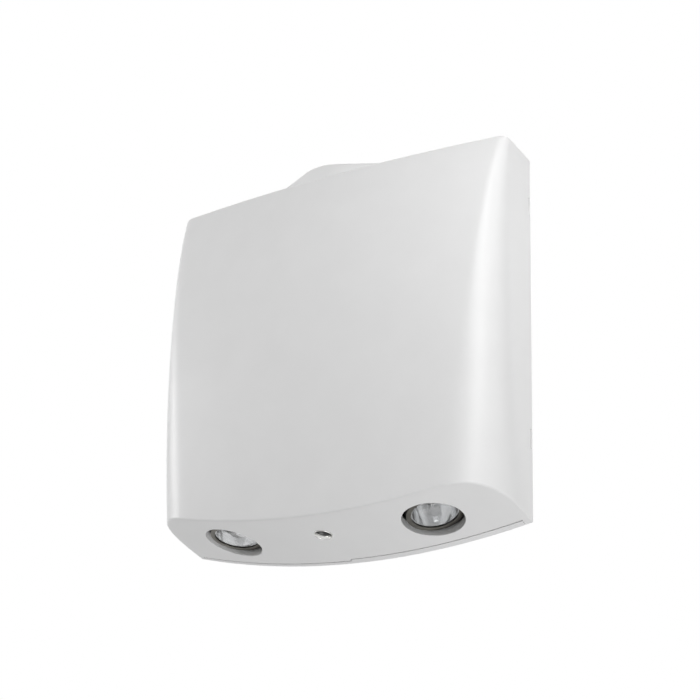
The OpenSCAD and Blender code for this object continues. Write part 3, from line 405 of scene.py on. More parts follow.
def columns_of_case():
    """Columns of the outline: kind, side and share, from the right rear corner round the front."""
    flat, corner, front, rear = 10, 26, 72, 40
    kinds = [
        ("flat", 1, np.linspace(0, 1, flat, endpoint=False)),
        ("corner", 1, np.linspace(0, 1, corner, endpoint=False)),
        ("front", 1, np.linspace(1, -1, front, endpoint=False)),
        ("corner", -1, np.linspace(1, 0, corner, endpoint=False)),
        ("flat", -1, np.linspace(1, 0, flat, endpoint=False)),
        ("rear", 1, np.linspace(-1, 1, rear, endpoint=False)),
    ]
    names = np.concatenate([[k] * len(s) for k, _, s in kinds])
    sides = np.concatenate([[d] * len(s) for _, d, s in kinds])
    return names, sides, np.concatenate([s for _, _, s in kinds])


def case_points(f, columns, z, inset, rear=0.0):
    """Outline of the case at heights z, smaller all round by an inset.

    With s the share of the height: the half width grows evenly with s, the front's depth falls as
    (1 - s^p)^q, the corners are superellipses that narrow with s, the flat side grows as
    1 - (1 - s)^n, and the front bulges as s^m times 1 - (x / half width)^2.
    """
    kind, side, t = columns
    s = np.clip(z / f.case_h + 0.5, 0, 1)
    half = f.case_w / 2 + f.top_gain / 2 * s - inset
    face = f.side_d + (f.front_d - f.side_d) * (1 - s**f.face_power) ** f.face_root - inset
    corner = f.low_corner_w + (f.top_corner_w - f.low_corner_w) * s
    flat = f.top_flat_d - (f.top_flat_d - f.low_flat_d) * (1 - s) ** f.flat_power - inset
    turn = t * math.pi / 2
    power = 2 / f.corner_power
    over = np.clip(np.cos(turn), 0, 1) ** power
    out = np.clip(np.sin(turn), 0, 1) ** power
    which = [kind == "flat", kind == "corner", kind == "front"]
    x = np.select(
        which, [side * half, side * (half - corner + corner * over), (half - corner) * t], half * t
    )
    d = np.select(which, [t * flat - (1 - t) * rear, flat + (face - flat) * out, face], -rear)
    bulge = f.top_bulge * s**f.bulge_power * (1 - (x / half) ** 2)
    y = -d - np.where(kind == "rear", 0, bulge)
    return np.stack([x, y, z], axis=-1)


def foot_of(f, columns, inset, depth, rear=0.0):
    """Heights at which the outline lies at a depth inside the bottom face, by halving."""
    low = np.full(len(columns[0]), low_z(f) - 0.02)
    high = np.full(len(columns[0]), -0.05)
    for _ in range(50):
        mid = (low + high) / 2
        below = depth_inside(f, case_points(f, columns, mid, inset, rear)) < depth
        low, high = np.where(below, mid, low), np.where(below, high, mid)
    return high


def case_body(name, f, inset, edge_r, top_r, rear=0.0, levels=84):
    """The closed body of the case: bottom face, rounded edge, walls, rounded edge and flat top."""
    columns = columns_of_case()
    rows = []
    turns = np.radians(np.linspace(90, 0, 7))
    for a in turns:
        d1 = edge_r * (1 - math.cos(a))
        z = foot_of(f, columns, inset + d1, inset + edge_r * (1 - math.sin(a)), rear)
        rows.append(case_points(f, columns, z, inset + d1, rear))
    foot = rows[-1][:, 2]
    rim = rows[0]
    centre = np.array([0, -f.front_d / 2])
    r = bottom_radius(f) - inset
    cap = []
    for t in np.linspace(1, 0, 13)[1:-1]:
        p = rim.copy()
        p[:, :2] = centre + (rim[:, :2] - centre) * (1 - t)
        up = bottom_radius(f) - np.sqrt(r**2 - p[:, 0] ** 2)
        p[:, 2] = low_z(f) + (up - p[:, 1] * math.sin(f.bottom_tilt)) / math.cos(f.bottom_tilt)
        cap.append(p)
    top = f.case_h / 2 - inset
    k = np.linspace(0, 1, levels)
    shares = np.concatenate([[0.002], (k + np.sin(k * math.pi / 2))[1:-1] / 2, [0.9985]])
    for share_up in shares:
        rows.append(case_points(f, columns, foot + (top - top_r - foot) * share_up, inset, rear))
    for a in np.radians(np.linspace(0, 90, 10)):
        z = np.full(len(foot), top - top_r + top_r * math.sin(a))
        rows.append(case_points(f, columns, z, inset + top_r * (1 - math.cos(a)), rear))
    return loft(name, cap + rows, "point", "flat")


def bottom_run(f, shift):
    """Distance from the rear edge along the bottom face of a piece shifted from the middle."""
    return f.front_d / math.cos(f.bottom_tilt) / 2 + shift


def half_width(f, z):
    """Half width of the case at a height."""
    return f.case_w / 2 + f.top_gain / 2 * min(max(z / f.case_h + 0.5, 0), 1)


# ---------------------------------------------------------------- materials


def add_node(owner, kind, settings=None, links=None, **values):
    """Adds a node to a material or world, with settings, socket values and links; returns it."""
    node = owner.node_tree.nodes.new(kind)
    for key, value in (settings or {}).items():
        setattr(node, key, value)
    for key, value in values.items():
        node.inputs[key.replace("_", " ")].default_value = value
    for key, source in (links or {}).items():
        owner.node_tree.links.new(source, node.inputs[key])
    return node


def seen_ray(owner):
    """An output that is 1 for rays of the camera, gloss and glass, and 0 for all others."""
    path = add_node(owner, "ShaderNodeLightPath").outputs
    most = {"operation": "MAXIMUM"}
    ends = {0: path["Is Camera Ray"], 1: path["Is Glossy Ray"]}
    first = add_node(owner, "ShaderNodeMath", most, ends)
    ends = {0: first.outputs[0], 1: path["Is Transmission Ray"]}
    return add_node(owner, "ShaderNodeMath", most, ends).outputs[0]


def rgba(values):
    """A colour with full opacity."""
    return (values[0], values[1], values[2], 1.0)


def toned(tone, factor):
    """A tone and the same tone made darker or lighter by a factor."""
    return tone, tuple(factor * v for v in tone)


def base_material(name, rough, metal=0.0, base=None, **values):
    """A material with one Principled shader, and that shader."""
    material = bpy.data.materials.new(name)
    material.use_nodes = True
    shader = material.node_tree.nodes["Principled BSDF"]
    shader.inputs["Roughness"].default_value = rough
    shader.inputs["Metallic"].default_value = metal
    if base is not None:
        shader.inputs["Base Color"].default_value = rgba(base)
    for key, value in values.items():
        shader.inputs[key.replace("_", " ")].default_value = value
    return material, shader


def grain(material, shader, size_mm, bump, tones, stretch=(1, 1, 1), detail=3, blend=(0.4, 0.6)):
    """Adds a noise of a real grain size that raises the surface and shifts between two tones."""
    place = add_node(material, "ShaderNodeTexCoord")
    turn = add_node(
        material, "ShaderNodeMapping", links={"Vector": place.outputs["Object"]}, Scale=stretch
    )
    noise = add_node(
        material,
        "ShaderNodeTexNoise",
        links={"Vector": turn.outputs["Vector"]},
        Scale=1 / (size_mm * MM),
        Detail=detail,
    )
    raised = add_node(
        material,
        "ShaderNodeBump",
        links={"Height": noise.outputs["Fac"]},
        Strength=bump,
        Distance=size_mm * MM / 8,
    )
    material.node_tree.links.new(raised.outputs["Normal"], shader.inputs["Normal"])
    if tones:
        slow = add_node(
            material,
            "ShaderNodeTexNoise",
            links={"Vector": turn.outputs["Vector"]},
            Scale=1 / (size_mm * MM * 18),
            Detail=2.0,
        )
        ramp = add_node(material, "ShaderNodeValToRGB", links={"Fac": slow.outputs["Fac"]})
        for stop, tone, at in zip(ramp.color_ramp.elements, tones, blend):
            stop.color = rgba(tone)
            stop.position = at
        material.node_tree.links.new(ramp.outputs["Color"], shader.inputs["Base Color"])


def make_materials(c):
    """All finishes by name. Each is named for its real material and how it was made."""
    made = {}
    metal = 1.0
    clear = {"base": (1, 1, 1), "Transmission_Weight": 1.0}

    def keep(key, name, rough, size_mm, bump, tones, metallic=0.0, pattern=None, **values):
        """Makes a finish from its roughness, grain size, bump and tones, and keeps it."""
        material, shader = base_material(name, rough, metallic, **values)
        grain(material, shader, size_mm, bump, tones, **(pattern or {}))
        made[key] = material

    def pair(first, second):
        return linear(first), linear(second)

    # Polyester powder baked on die-cast aluminium: satin, with a faint orange peel of 1.5 mm
    coat = (c.powder, c.powder_shade)
    wide = {"blend": (0.3, 0.7)}
    keep("powder", "powder_coat_white", 0.36, 1.5, 0.04, coat, pattern=wide, Specular_IOR_Level=0.3)
    # The same coat on the back plate
    keep("plate", "powder_coat_plate", 0.42, 1.5, 0.06, coat, Specular_IOR_Level=0.45)
    # Turned brass with bright nickel plate: mirror-like, with fine turning marks of 0.15 mm
    keep("nickel", "nickel_plate_turned", 0.12, 0.15, 0.05, toned(c.bezel, 0.9), metal)
    # Aluminium vapour on pressed glass: a clear mirror with slight waviness of 3 mm
    keep("mirror", "mirror_coat_vapour", 0.07, 3.0, 0.05, toned(c.mirror, 0.93), metal)
    # Pressed soda glass of the lamp's front, clear, with a faint waviness of 4 mm
    keep("glass", "lamp_glass_pressed", 0.03, 4.0, 0.03, None, IOR=1.5, **clear)
    # Drawn quartz of the bulb's capsule, with a faint waviness of 2 mm
    keep("quartz", "quartz_drawn", 0.04, 2.0, 0.04, None, IOR=1.46, **clear)
    # Heat-proof black plastic, moulded, with a fine spark texture of 0.4 mm
    keep("holder", "holder_plastic_moulded", 0.45, 0.4, 0.25, toned(c.holder, 1.5))
    # Dark smoke plastic of the button, moulded and satin, made near black so it stays dark in the
    # bright bezel: partly real smoke plastic, partly painted shade standing in for the shade inside
    # the recessed bezel
    smoke_and_shade = toned(c.button, 1.25)
    keep("button", "button_plastic_moulded", 0.4, 0.8, 0.04, smoke_and_shade, Specular_IOR_Level=0.25)
    # Zinc-plated steel: satin metal with a faint cloud
    keep("zinc", "zinc_plate_steel", 0.32, 0.5, 0.08, pair("BDBDB8", "A9A9A6"), metal)
    # Hard drawn spring steel, darker
    keep("spring", "spring_steel_drawn", 0.3, 0.3, 0.08, pair("7A7A78", "6A6A69"), metal)
    # Stamped spring steel with black oxide, slightly oily
    oxide = pair("706E68", "63615C")
    keep("blackened", "black_oxide_steel_stamped", 0.3, 0.4, 0.08, oxide, metal)
    # Unglazed pressed ceramic
    keep("ceramic", "ceramic_pressed", 0.7, 0.5, 0.3, pair("EAE6DC", "DDD8CC"))
    # Sponge rubber, black, open grain of 0.9 mm
    keep("rubber", "sponge_rubber_cut", 0.9, 0.9, 0.6, pair("232323", "2E2E2E"))
    # Extruded soft insulation
    for key, code in (("red_lead", "A31D16"), ("blue_lead", "26427F")):
        name = key + "_insulation_extruded"
        keep(key, name, 0.42, 0.6, 0.08, toned(linear(code), 0.85))
    # Moulded cases of battery, relay and switch
    for key, code in (("dark_case", "3B3D40"), ("black_case", "1C1C1C")):
        keep(key, key + "_moulded", 0.5, 0.6, 0.2, toned(linear(code), 1.15))
    # Stamped brass
    keep("brass", "brass_stamped", 0.28, 0.4, 0.08, pair("D9B566", "C9A253"), metal)
    # Glass-fibre laminate under green resist, with the weave of 0.5 mm faintly raised
    weave = {"stretch": (1, 1, 2)}
    resist = pair("14512A", "1B5F33")
    keep("laminate", "laminate_pressed", 0.3, 0.5, 0.12, resist, pattern=weave)
    # Natural nylon, moulded
    keep("nylon", "nylon_moulded", 0.48, 0.5, 0.12, pair("E8E2D3", "DDD6C4"))
    # Stamped and varnished core steel, with layers of 0.5 mm
    layers = {"stretch": (0.1, 2, 0.1)}
    steel = pair("4A4A4C", "3E3E40")
    keep("core", "core_steel_stamped", 0.45, 0.5, 0.3, steel, 0.7, layers)
    # Varnished tape over the winding
    keep("winding", "winding_tape_varnished", 0.35, 1.0, 0.2, pair("B98B3A", "A87C30"))
    # Cast green resin
    resin = pair("3AA552", "319448")
    keep("resin", "resin_cast_green", 0.12, 0.8, 0.04, resin, Coat_Weight=0.5)
    return made


FINISH_NODES = {
    "powder": ("front_cover", "conduit_hub"),
    "plate": ("back_plate",),
    "rubber": ("case_gasket",),
    "zinc": (
        "hub_screws",
        "pivot_screws",
        "battery_strap",
        "strap_screws",
        "board_screws",
        "transformer_screws",
    ),
    "holder": ("lamp_ring",),
    "mirror": ("reflector",),
    "glass": ("front_glass",),
    "quartz": ("bulb", "fuse"),
    "ceramic": ("lamp_base", "lamp_socket"),
    "blackened": ("lamp_retainer",),
    "red_lead": ("lamp_leads", "battery_leads"),
    "nickel": ("button_bezel", "bezel_nut"),
    "button": ("test_button",),
    "spring": ("button_spring",),
    "black_case": ("test_switch", "capacitors", "relay"),
    "resin": ("indicator_light",),
    "blue_lead": ("switch_leads",),
    "dark_case": ("battery",),
    "brass": ("battery_terminals", "terminal_screws"),
    "laminate": ("circuit_board",),
    "nylon": ("board_plugs", "terminal_block"),
    "core": ("transformer_core",),
    "winding": ("transformer_coil",),
}
NODE_FINISH = {node: finish for finish, nodes in FINISH_NODES.items() for node in nodes}


def finish_of(node):
    """The finish of a node by its name, with left or right taken off."""
    return NODE_FINISH[node.replace("left_", "").replace("right_", "")]


def body_of(node):
    """The body that a node belongs to."""
    bodies = frame["record"]["behaviour"]["bodies"]
    return next(body for body, members in bodies.items() if node in members)


def dress(piece, node, materials):
    """Gives a new piece its finish and makes it stand for the node and ride on its body."""
    piece.data.materials.clear()
    piece.data.materials.append(materials[finish_of(node)])
    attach(piece, body_of(node))
    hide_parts(node)


MADE = {}


def materials_made():
    """The finishes, made once."""
    if not MADE:
        MADE.update(make_materials(bpy.context.scene.light_finishes))
    return MADE


# ---------------------------------------------------------------- operators


class LIGHT_OT_cover(bpy.types.Operator):
    """Makes the smooth cover with its openings and cuts."""

    bl_idname = "light.cover"
    bl_label = "Cover"

    def execute(self, context):
        sc = context.scene
        f, lamp, hub = sc.light_case, sc.light_lamp, sc.light_hub
        plate, button = sc.light_plate, sc.light_button
        over = 1 * MM
        inner_r = 0.4 * MM
        top = f.case_h / 2
        cover = case_body("cover", f, 0.0, f.edge_r, f.top_r)
        inner = case_body("inner", f, f.wall, inner_r, inner_r, rear=over, levels=40)
        combine(cover, [inner])
        run = bottom_run(f, lamp.shift)
        x = f.case_w / 2 - lamp.side_in
        collars, mouths = [], []
        for mirror in (False, True):
            m = on_bottom(f, x, run, mirror)
            r = lamp.hole_r + lamp.collar_t
            collars.append(rod("collar", r, f.wall / 2, lamp.collar_h, m))
            mouth = [
                (lamp.hole_r + f.mouth_r * (1 - math.sin(a)), f.mouth_r * (1 - math.cos(a)))
                for a in np.radians(np.linspace(0, 90, 7))
            ]
            reach = -2 * over
            r = lamp.hole_r + f.mouth_r
            high = lamp.collar_h + over
            mouths.append(
                revolved(
                    "mouth",
                    [(0, reach), (r, reach)] + mouth + [(lamp.hole_r, high), (0, high)],
                    m,
                    steps=144,
                )
            )
        combine(cover, collars, "UNION")
        combine(cover, mouths)
        m = on_bottom(f, 0, bottom_run(f, button.shift))
        hole = rod("hole", button.barrel_r + button.barrel_gap, -2 * over, 5 * over, m)
        end = f.case_w / 2 - plate.lip_end + plate.gap
        foot = low_z(f) - over
        roof = foot + f.bottom_sag + 2 * over + f.wall
        left_y = -plate.lip_left - plate.seam
        right_y = -plate.lip_right - plate.seam
        tools = [
            hole,
            block("lip_left", (-end, left_y, foot), (over, over, roof)),
            block("lip_right", (-plate.gap, right_y, foot), (end, over, roof)),
        ]
        combine(cover, tools)
        tools = []
        for z in (plate.snap_low_in - top, top - plate.snap_top_in):
            half = half_width(f, z)
            reach = f.wall + plate.gap + over
            tall = plate.snap_h / 2 + plate.gap
            for side in (-1, 1):
                x0, x1 = sorted((side * half - reach, side * half + reach))
                tools.append(
                    block("snap", (x0, -plate.snap_d - plate.gap, z - tall), (x1, over, z + tall))
                )
        combine(cover, tools)
        r = hub.bore_r + hub.throat_t + hub.gap
        low = top - hub.throat_l - hub.gap
        centre = np.eye(4)
        centre[:3, 3] = (hub.x, -hub.axis_d, low)
        wide = hub.tab_w / 2 + hub.gap
        tools = [
            rod("throat", r, 0, 2 * hub.throat_l, centre),
            block("slot", (hub.x - r, -hub.axis_d, low), (hub.x + r, over, top + 5 * over)),
            block(
                "tab",
                (hub.x - wide, -plate.plate_t - hub.tab_t - hub.gap, top - hub.tab_l - hub.gap),
                (hub.x + wide, over, top + 5 * over),
            ),
        ]
        combine(cover, tools[:1])
        combine(cover, tools[1:])
        smooth(cover, 30)
        dress(cover, "front_cover", materials_made())
        return {"FINISHED"}


class LIGHT_OT_hub(bpy.types.Operator):
    """Makes the conduit hub with its rounded nose and bore."""

    bl_idname = "light.hub"
    bl_label = "Conduit hub"

    def execute(self, context):
        sc = context.scene
        f, hub, plate = sc.light_case, sc.light_hub, sc.light_plate
        top = f.case_h / 2
        rows = [self.plan(hub, 0.0, top)]
        rise = np.linspace(0, hub.h - hub.round_r, 5)[1:]
        rows += [self.plan(hub, 0.0, top + z) for z in rise]
        for a in np.radians(np.linspace(0, 90, 9))[1:]:
            z = top + hub.h - hub.round_r + hub.round_r * math.sin(a)
            rows.append(self.plan(hub, hub.round_r * (1 - math.cos(a)), z))
        piece = loft("hub", rows, "flat", "flat")
        place = np.eye(4)
        place[:3, 3] = (hub.x, -hub.axis_d, top - hub.throat_l)
        deep = hub.throat_l + hub.round_r
        throat = rod("throat", hub.bore_r + hub.throat_t, 0, deep, place)
        wide = hub.tab_w / 2
        tab = block(
            "tab",
            (hub.x - wide, -plate.plate_t - hub.tab_t, top - hub.tab_l),
            (hub.x + wide, -plate.plate_t, top + hub.round_r),
        )
        combine(piece, [throat, tab], "UNION")
        soft = 0.8 * MM
        high = hub.throat_l + hub.h
        lip = [
            (hub.bore_r + soft * (1 - math.cos(a)), high - soft * (1 - math.sin(a)))
            for a in np.radians(np.linspace(0, 90, 7))
        ]
        over = 1 * MM
        start = [(0, -over), (hub.bore_r, -over)]
        stop = [(hub.bore_r + soft, high + over), (0, high + over)]
        bore = revolved("bore", start + lip + stop, place)
        combine(piece, [bore])
        smooth(piece, 30)
        dress(piece, "conduit_hub", materials_made())
        return {"FINISHED"}

    @staticmethod
    def plan(hub, inset, z):
        """Plan of the hub at a height: a round nose between straight flanks and square sides."""
        r = hub.nose_r - inset
        half = hub.half_w - inset
        nose_y = -hub.d + hub.nose_r
        a = np.linspace(hub.flank, -hub.flank, 61)
        nose = np.stack([r * np.sin(a), nose_y - r * np.cos(a)], axis=1)
        side_y = nose[0, 1] + (half - nose[0, 0]) * math.tan(hub.flank)
        flat = np.array([[half, 0], [half, side_y]])
        back = np.array([[-half, side_y], [-half, 0]])
        plan = np.concatenate([flat, nose, back])
        plan[:, 0] += hub.x
        return np.column_stack([plan, np.full(len(plan), z)])


class LIGHT_OT_lamps(bpy.types.Operator):
    """Makes both lamps: retaining ring, reflector, front glass and bulb."""

    bl_idname = "light.lamps"
    bl_label = "Lamps"

    def execute(self, context):
        sc = context.scene
        f, p = sc.light_case, sc.light_lamp
        x = f.case_w / 2 - p.side_in
        run = bottom_run(f, p.shift)
        for side, mirror in (("left", True), ("right", False)):
            turn = (
                Matrix.Translation((0, 0, p.pivot_z))
                @ Matrix.Rotation(p.aim if mirror else -p.aim, 4, "Y")
                @ Matrix.Translation((0, 0, -p.pivot_z))
            )
            m = on_bottom(f, x, run, mirror) @ np.array(turn)
            for node, make in (
                ("lamp_retainer", self.retainer),
                ("reflector", self.reflector),
                ("front_glass", self.glass),
                ("bulb", self.bulb),
            ):
                piece = make(f"{side}_{node}_look", p, m)
                dress(piece, f"{side}_{node}", materials_made())
        return {"FINISHED"}

    @staticmethod
    def retainer(name, p, m):
        """Retaining ring: a flat ring with rounded edges and two bent clips over the holder."""
        inner = p.lamp_r - p.retainer_in
        outer = p.lamp_r + p.ring_gap + p.ring_t
        high = p.recess
        low = high - p.retainer_t
        e = 0.12 * MM
        profile = np.concatenate(
            [
                arc(e, 180, 270, 4, (inner + e, low + e)),
                arc(e, 270, 360, 4, (outer - e, low + e)),
                [(outer, high), (inner, high)],
            ]
        )
        ring = revolved(name, profile, m)
        leg = outer + p.clip_gap
        bend = p.retainer_t
        outline = np.concatenate(
            [
                [(outer - 4 * bend, high), (outer - 4 * bend, low)],
                arc(bend, 270, 360, 6, (leg, low + bend)),
                [(leg + bend, high + p.clip_h), (leg, high + p.clip_h), (leg, high)],
            ]
        )
        clips = []
        for way in (-1, 1):
            flat = np.column_stack([0 * outline[:, 0], way * outline[:, 0], outline[:, 1]])
            rows = [placed(flat + [s, 0, 0], m) for s in (-p.clip_w / 2, p.clip_w / 2)]
            clips.append(loft("clip", rows, "flat", "flat"))
        combine(ring, clips, "UNION")
        smooth(ring, 30)
        return ring

    @staticmethod
    def reflector(name, p, m):
        """Reflector: a parabolic bowl whose inside is faintly fluted, as pressed glass is.

        The inside radius shrinks with the square root of the depth left; each flute sinks by a
        sine squared round the ring.
        """
        seat = p.recess + p.rim_h
        neck = seat + p.bowl_h
        pocket = p.recess + p.lens_set + p.lens_t
        body = p.lamp_r - p.ledge_w
        s = np.linspace(0, 1, 41)
        outer = np.stack([p.neck_r + (body - p.neck_r) * np.sqrt(1 - s), seat + p.bowl_h * s], 1)
        r0, r1 = body - p.glass_t, p.neck_r - p.glass_t
        inner = np.stack([r1 + (r0 - r1) * np.sqrt(1 - s), pocket + (neck - pocket) * s], 1)
        e = 0.15 * MM
        rim = p.lamp_r - p.lip_w
        profile = np.concatenate(
            [
                arc(e, 180, 270, 4, (rim + e, p.recess + e)),
                arc(e, 270, 360, 4, (p.lamp_r - e, p.recess + e)),
                [(p.lamp_r, seat)],
                outer,
                inner[::-1],
                [(rim, pocket)],
            ]
        )
        first = 4 + 4 + 1 + len(outer)
        rows = np.arange(len(profile))
        inside = (rows >= first) & (rows < first + len(inner))

        def fluted(r, body_rows, turn):
            wave = np.sin(p.flutes * turn / 2)[None, :] ** 2 * p.flute_d
            fade = np.clip((r - p.neck_r) / (p.lamp_r - p.neck_r), 0, 1)
            return r + np.where(inside[:, None], wave * fade, 0)

        return revolved(name, profile, m, steps=p.flutes * 12, radius=fluted)

    @staticmethod
    def glass(name, p, m):
        """Front glass: a flat disc with rounded edges."""
        play = 0.15 * MM
        r = p.lamp_r - p.lip_w - play
        low = p.recess + p.lens_set
        e = 0.2 * MM
        profile = np.concatenate(
            [
                [(0, low)],
                arc(e, 270, 360, 5, (r - e, low + e)),
                arc(e, 0, 90, 5, (r - e, low + p.lens_t - e)),
                [(0, low + p.lens_t)],
            ]
        )
        return revolved(name, profile, m)

    @staticmethod
    def bulb(name, p, m):
        """Bulb: a round-nosed capsule."""
        neck = p.recess + p.rim_h + p.bowl_h
        tip = neck - p.bulb_h
        nose = arc(p.bulb_r, 270, 360, 12, (0, tip + p.bulb_r))
        nose[0, 0] = 0
        profile = np.concatenate([nose, [(p.bulb_r, neck), (0, neck)]])
        return revolved(name, profile, m, steps=48)


class LIGHT_OT_button(bpy.types.Operator):
    """Makes the turned bezel and the test button in it."""

    bl_idname = "light.button"
    bl_label = "Test button"

    def execute(self, context):
        sc = context.scene
        f, b = sc.light_case, sc.light_button
        m = on_bottom(f, 0, bottom_run(f, b.shift))
        bore = b.button_r + b.button_gap
        wide = b.flange_r + b.button_gap
        e = 0.2 * MM
        r = b.bezel_h / 2
        lip = b.bezel_r - b.rim_w
        profile = np.concatenate(
            [
                [(bore, b.dish_d - b.bezel_h)],
                arc(e, 205, 270, 5, (lip + e, -b.bezel_h + e)),
                arc(r, 270, 360, 7, (b.bezel_r - r, -b.bezel_h + r)),
                [(b.bezel_r, 0), (b.barrel_r, 0), (b.barrel_r, b.barrel_h)],
                [(wide, b.barrel_h), (wide, b.stop_z), (bore, b.stop_z)],
            ]
        )
        piece = revolved("bezel", profile, m)
        dress(piece, "button_bezel", materials_made())
        crown = b.button_set - b.bezel_h
        flange = b.stop_z + b.button_gap
        k = np.linspace(0, 1, 10)
        e = 0.3 * MM
        top = np.stack([(b.button_r - e) * k, crown + b.crown * k * k], 1)
        stem = b.button_r / 2
        profile = np.concatenate(
            [
                top,
                arc(e, 290, 360, 4, (b.button_r - e, crown + b.crown + e)),
                [(b.button_r, flange), (b.flange_r, flange), (b.flange_r, flange + b.flange_t)],
                [(stem, flange + b.flange_t), (stem, crown + b.button_h), (0, crown + b.button_h)],
            ]
        )
        piece = revolved("button", profile, m, steps=64)
        dress(piece, "test_button", materials_made())
        return {"FINISHED"}


class LIGHT_OT_solids(bpy.types.Operator):
    """Gives the CAD solids that stay their finishes."""

    bl_idname = "light.solids"
    bl_label = "Other solids"

    def execute(self, context):
        materials = materials_made()
        for node, piece in frame["nodes"].items():
            if not piece.data.materials:
                piece.data.materials.append(None)
            for slot in piece.material_slots:
                slot.material = materials[finish_of(node)]
        return {"FINISHED"}


CAMERA_SIDE = 30.879
CAMERA_RISE = -21.31
CAMERA_ROLL = 1.284
CAMERA_TARGET = (-8.1, 0.0, 11.65)
CAMERA_DISTANCE = 962.6
CAMERA_LENS = 65.83

SURROUND = 0.1  # Strength of the surround for all rays that don't see it as white
FLOOR_HALF, FLOOR_Z, FLOOR_T = 3.5, -1.4, 0.01  # Half width, height and thickness in metres
# Distances in metres from the origin where the floor starts to turn white and is white, and the
# share of white before
FADE_START, FADE_END, FADE_LEAST = 1.8, 2.6, 0.4

# Name, place, point looked at and size in metres, power in watts
LAMPS = [
    ("left", (-1.7, -0.5, 0.3), (0.0, 0.0, 0.0), 1.0, 7.0),
    ("left_edge", (-0.7, -0.4, 0.1), (0.0, 0.0, 0.0), 0.3, 2.4),
    ("right", (0.6, -0.3, 0.1), (0.05, 0.0, 0.05), 0.3, 1.2),
    ("key", (0.4, -0.45, 0.35), (0.05, 0.0, 0.05), 0.35, 2.1),
    ("low", (0.4, -0.25, -0.8), (0.0, 0.0, 0.0), 0.6, 4.0),
    ("back", (0.0, 1.7, 0.6), (0.0, 0.0, 0.0), 1.0, 14.0),
]


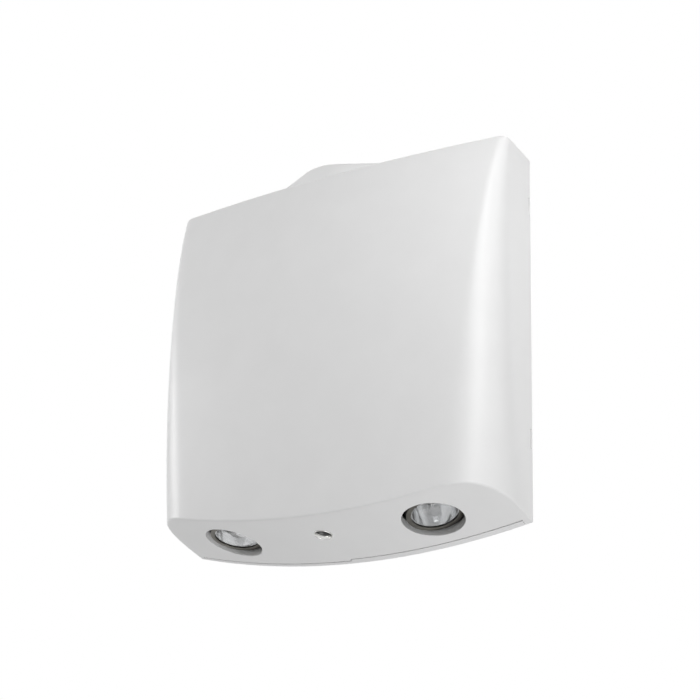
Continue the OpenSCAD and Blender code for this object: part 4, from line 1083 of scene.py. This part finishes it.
class LIGHT_OT_stage(bpy.types.Operator):
    """Makes the camera at the photograph's angle, the floor, the lamps and the white surround."""

    bl_idname = "light.stage"
    bl_label = "Stage"

    def execute(self, context):
        scene = context.scene
        self.camera(scene)
        self.world(scene)
        for name, place, aim, size, power in LAMPS:
            self.area(scene, name, Vector(place), Vector(aim), size, power)
        self.floor(scene)
        scene.view_settings.view_transform = "Standard"
        return {"FINISHED"}

    @staticmethod
    def camera(scene):
        """Camera from the fit to the photograph: direction, roll, target, distance and lens."""
        side, rise, roll = (math.radians(v) for v in (CAMERA_SIDE, CAMERA_RISE, CAMERA_ROLL))
        back = Vector(
            (math.sin(side) * math.cos(rise), -math.cos(side) * math.cos(rise), math.sin(rise))
        )
        right = Vector((0, 0, 1)).cross(back).normalized()
        up = back.cross(right)
        across = right * math.cos(roll) + up * math.sin(roll)
        above = up * math.cos(roll) - right * math.sin(roll)
        data = bpy.data.cameras.new("camera")
        data.lens = CAMERA_LENS
        data.sensor_width = 36.0
        data.clip_start = 0.05
        camera = bpy.data.objects.new("camera", data)
        scene.collection.objects.link(camera)
        place = Vector(CAMERA_TARGET) * MM + back * CAMERA_DISTANCE * MM
        turn = Matrix((across, above, back)).transposed().to_4x4()
        camera.matrix_world = Matrix.Translation(place) @ turn
        scene.camera = camera

    @staticmethod
    def world(scene):
        """A soft even surround, seen as plain white by the camera, gloss and glass."""
        world = bpy.data.worlds.new("surround")
        world.use_nodes = True
        world.node_tree.nodes.clear()
        kind, colour_white = "ShaderNodeBackground", (1, 1, 1, 1)
        soft = add_node(world, kind, Color=colour_white, Strength=SURROUND)
        white = add_node(world, kind, Color=colour_white, Strength=1.0)
        ends = {0: seen_ray(world), 1: soft.outputs[0], 2: white.outputs[0]}
        mix = add_node(world, "ShaderNodeMixShader", links=ends)
        add_node(world, "ShaderNodeOutputWorld", links={"Surface": mix.outputs[0]})
        scene.world = world

    @staticmethod
    def area(scene, name, place, aim, size, power):
        """One soft square lamp at a place, turned to the point it looks at."""
        data = bpy.data.lights.new(name, "AREA")
        data.shape = "SQUARE"
        data.size = size
        data.energy = power
        lamp = bpy.data.objects.new(name, data)
        scene.collection.objects.link(lamp)
        lamp.visible_camera = False
        turn = (place - aim).to_track_quat("Z", "Y").to_matrix().to_4x4()
        lamp.matrix_world = Matrix.Translation(place) @ turn

    @staticmethod
    def floor(scene):
        """A pale floor below the wall light.

        Beneath the object its own lit colour and shadow show through a share of white; with the
        distance it fades to the white of the surround for camera, gloss and glass.
        """
        half = FLOOR_HALF
        piece = block("floor", (-half, -half, FLOOR_Z - FLOOR_T), (half, half, FLOOR_Z))
        m, shader = base_material("floor_paint_matt", 0.9, 0.0, linear("E6E6E6"))
        grain(m, shader, 20.0, 0.05, None)
        white = add_node(m, "ShaderNodeEmission", Strength=1.0)
        place = add_node(m, "ShaderNodeTexCoord")
        far = add_node(
            m, "ShaderNodeVectorMath", {"operation": "LENGTH"}, {"Vector": place.outputs["Object"]}
        )
        fade = add_node(
            m,
            "ShaderNodeMapRange",
            {"interpolation_type": "SMOOTHSTEP"},
            {"Value": far.outputs["Value"]},
            From_Min=FADE_START,
            From_Max=FADE_END,
            To_Min=FADE_LEAST,
        )
        ends = {0: seen_ray(m), 1: fade.outputs["Result"]}
        part = add_node(m, "ShaderNodeMath", {"operation": "MULTIPLY"}, ends)
        ends = {0: part.outputs[0], 1: shader.outputs[0], 2: white.outputs[0]}
        mix = add_node(m, "ShaderNodeMixShader", links=ends)
        surface = m.node_tree.nodes["Material Output"].inputs["Surface"]
        m.node_tree.links.new(mix.outputs[0], surface)
        piece.data.materials.append(m)


class LIGHT_PT_panel(bpy.types.Panel):
    """Sizes, colours and steps of the emergency light."""

    bl_idname = "LIGHT_PT_panel"
    bl_label = "Emergency light"
    bl_space_type = "VIEW_3D"
    bl_region_type = "UI"
    bl_category = "Emergency light"

    def draw(self, context):
        layout = self.layout
        for name in GROUPS:
            group = getattr(context.scene, name)
            box = layout.box()
            for key in group.bl_rna.properties.keys():
                if key not in ("rna_type", "name"):
                    box.prop(group, key)
        for operator in STEPS:
            layout.operator(operator.bl_idname)


GROUPS = {
    "light_case": CaseForm,
    "light_lamp": LampForm,
    "light_button": ButtonForm,
    "light_hub": HubForm,
    "light_plate": PlateForm,
    "light_finishes": Finishes,
}
STEPS = [
    LIGHT_OT_stage,
    LIGHT_OT_solids,
    LIGHT_OT_cover,
    LIGHT_OT_hub,
    LIGHT_OT_lamps,
    LIGHT_OT_button,
]


def register():
    for group in GROUPS.values():
        bpy.utils.register_class(group)
    for step in STEPS:
        bpy.utils.register_class(step)
    bpy.utils.register_class(LIGHT_PT_panel)
    for name, group in GROUPS.items():
        setattr(bpy.types.Scene, name, PointerProperty(type=group))


def unregister():
    for name in GROUPS:
        delattr(bpy.types.Scene, name)
    for cls in [LIGHT_PT_panel, *STEPS, *GROUPS.values()]:
        bpy.utils.unregister_class(cls)


def main():
    """Registers the add-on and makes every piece."""
    register()
    for step in STEPS:
        group, name = step.bl_idname.split(".")
        getattr(getattr(bpy.ops, group), name)()


if __name__ == "__main__":
    main()
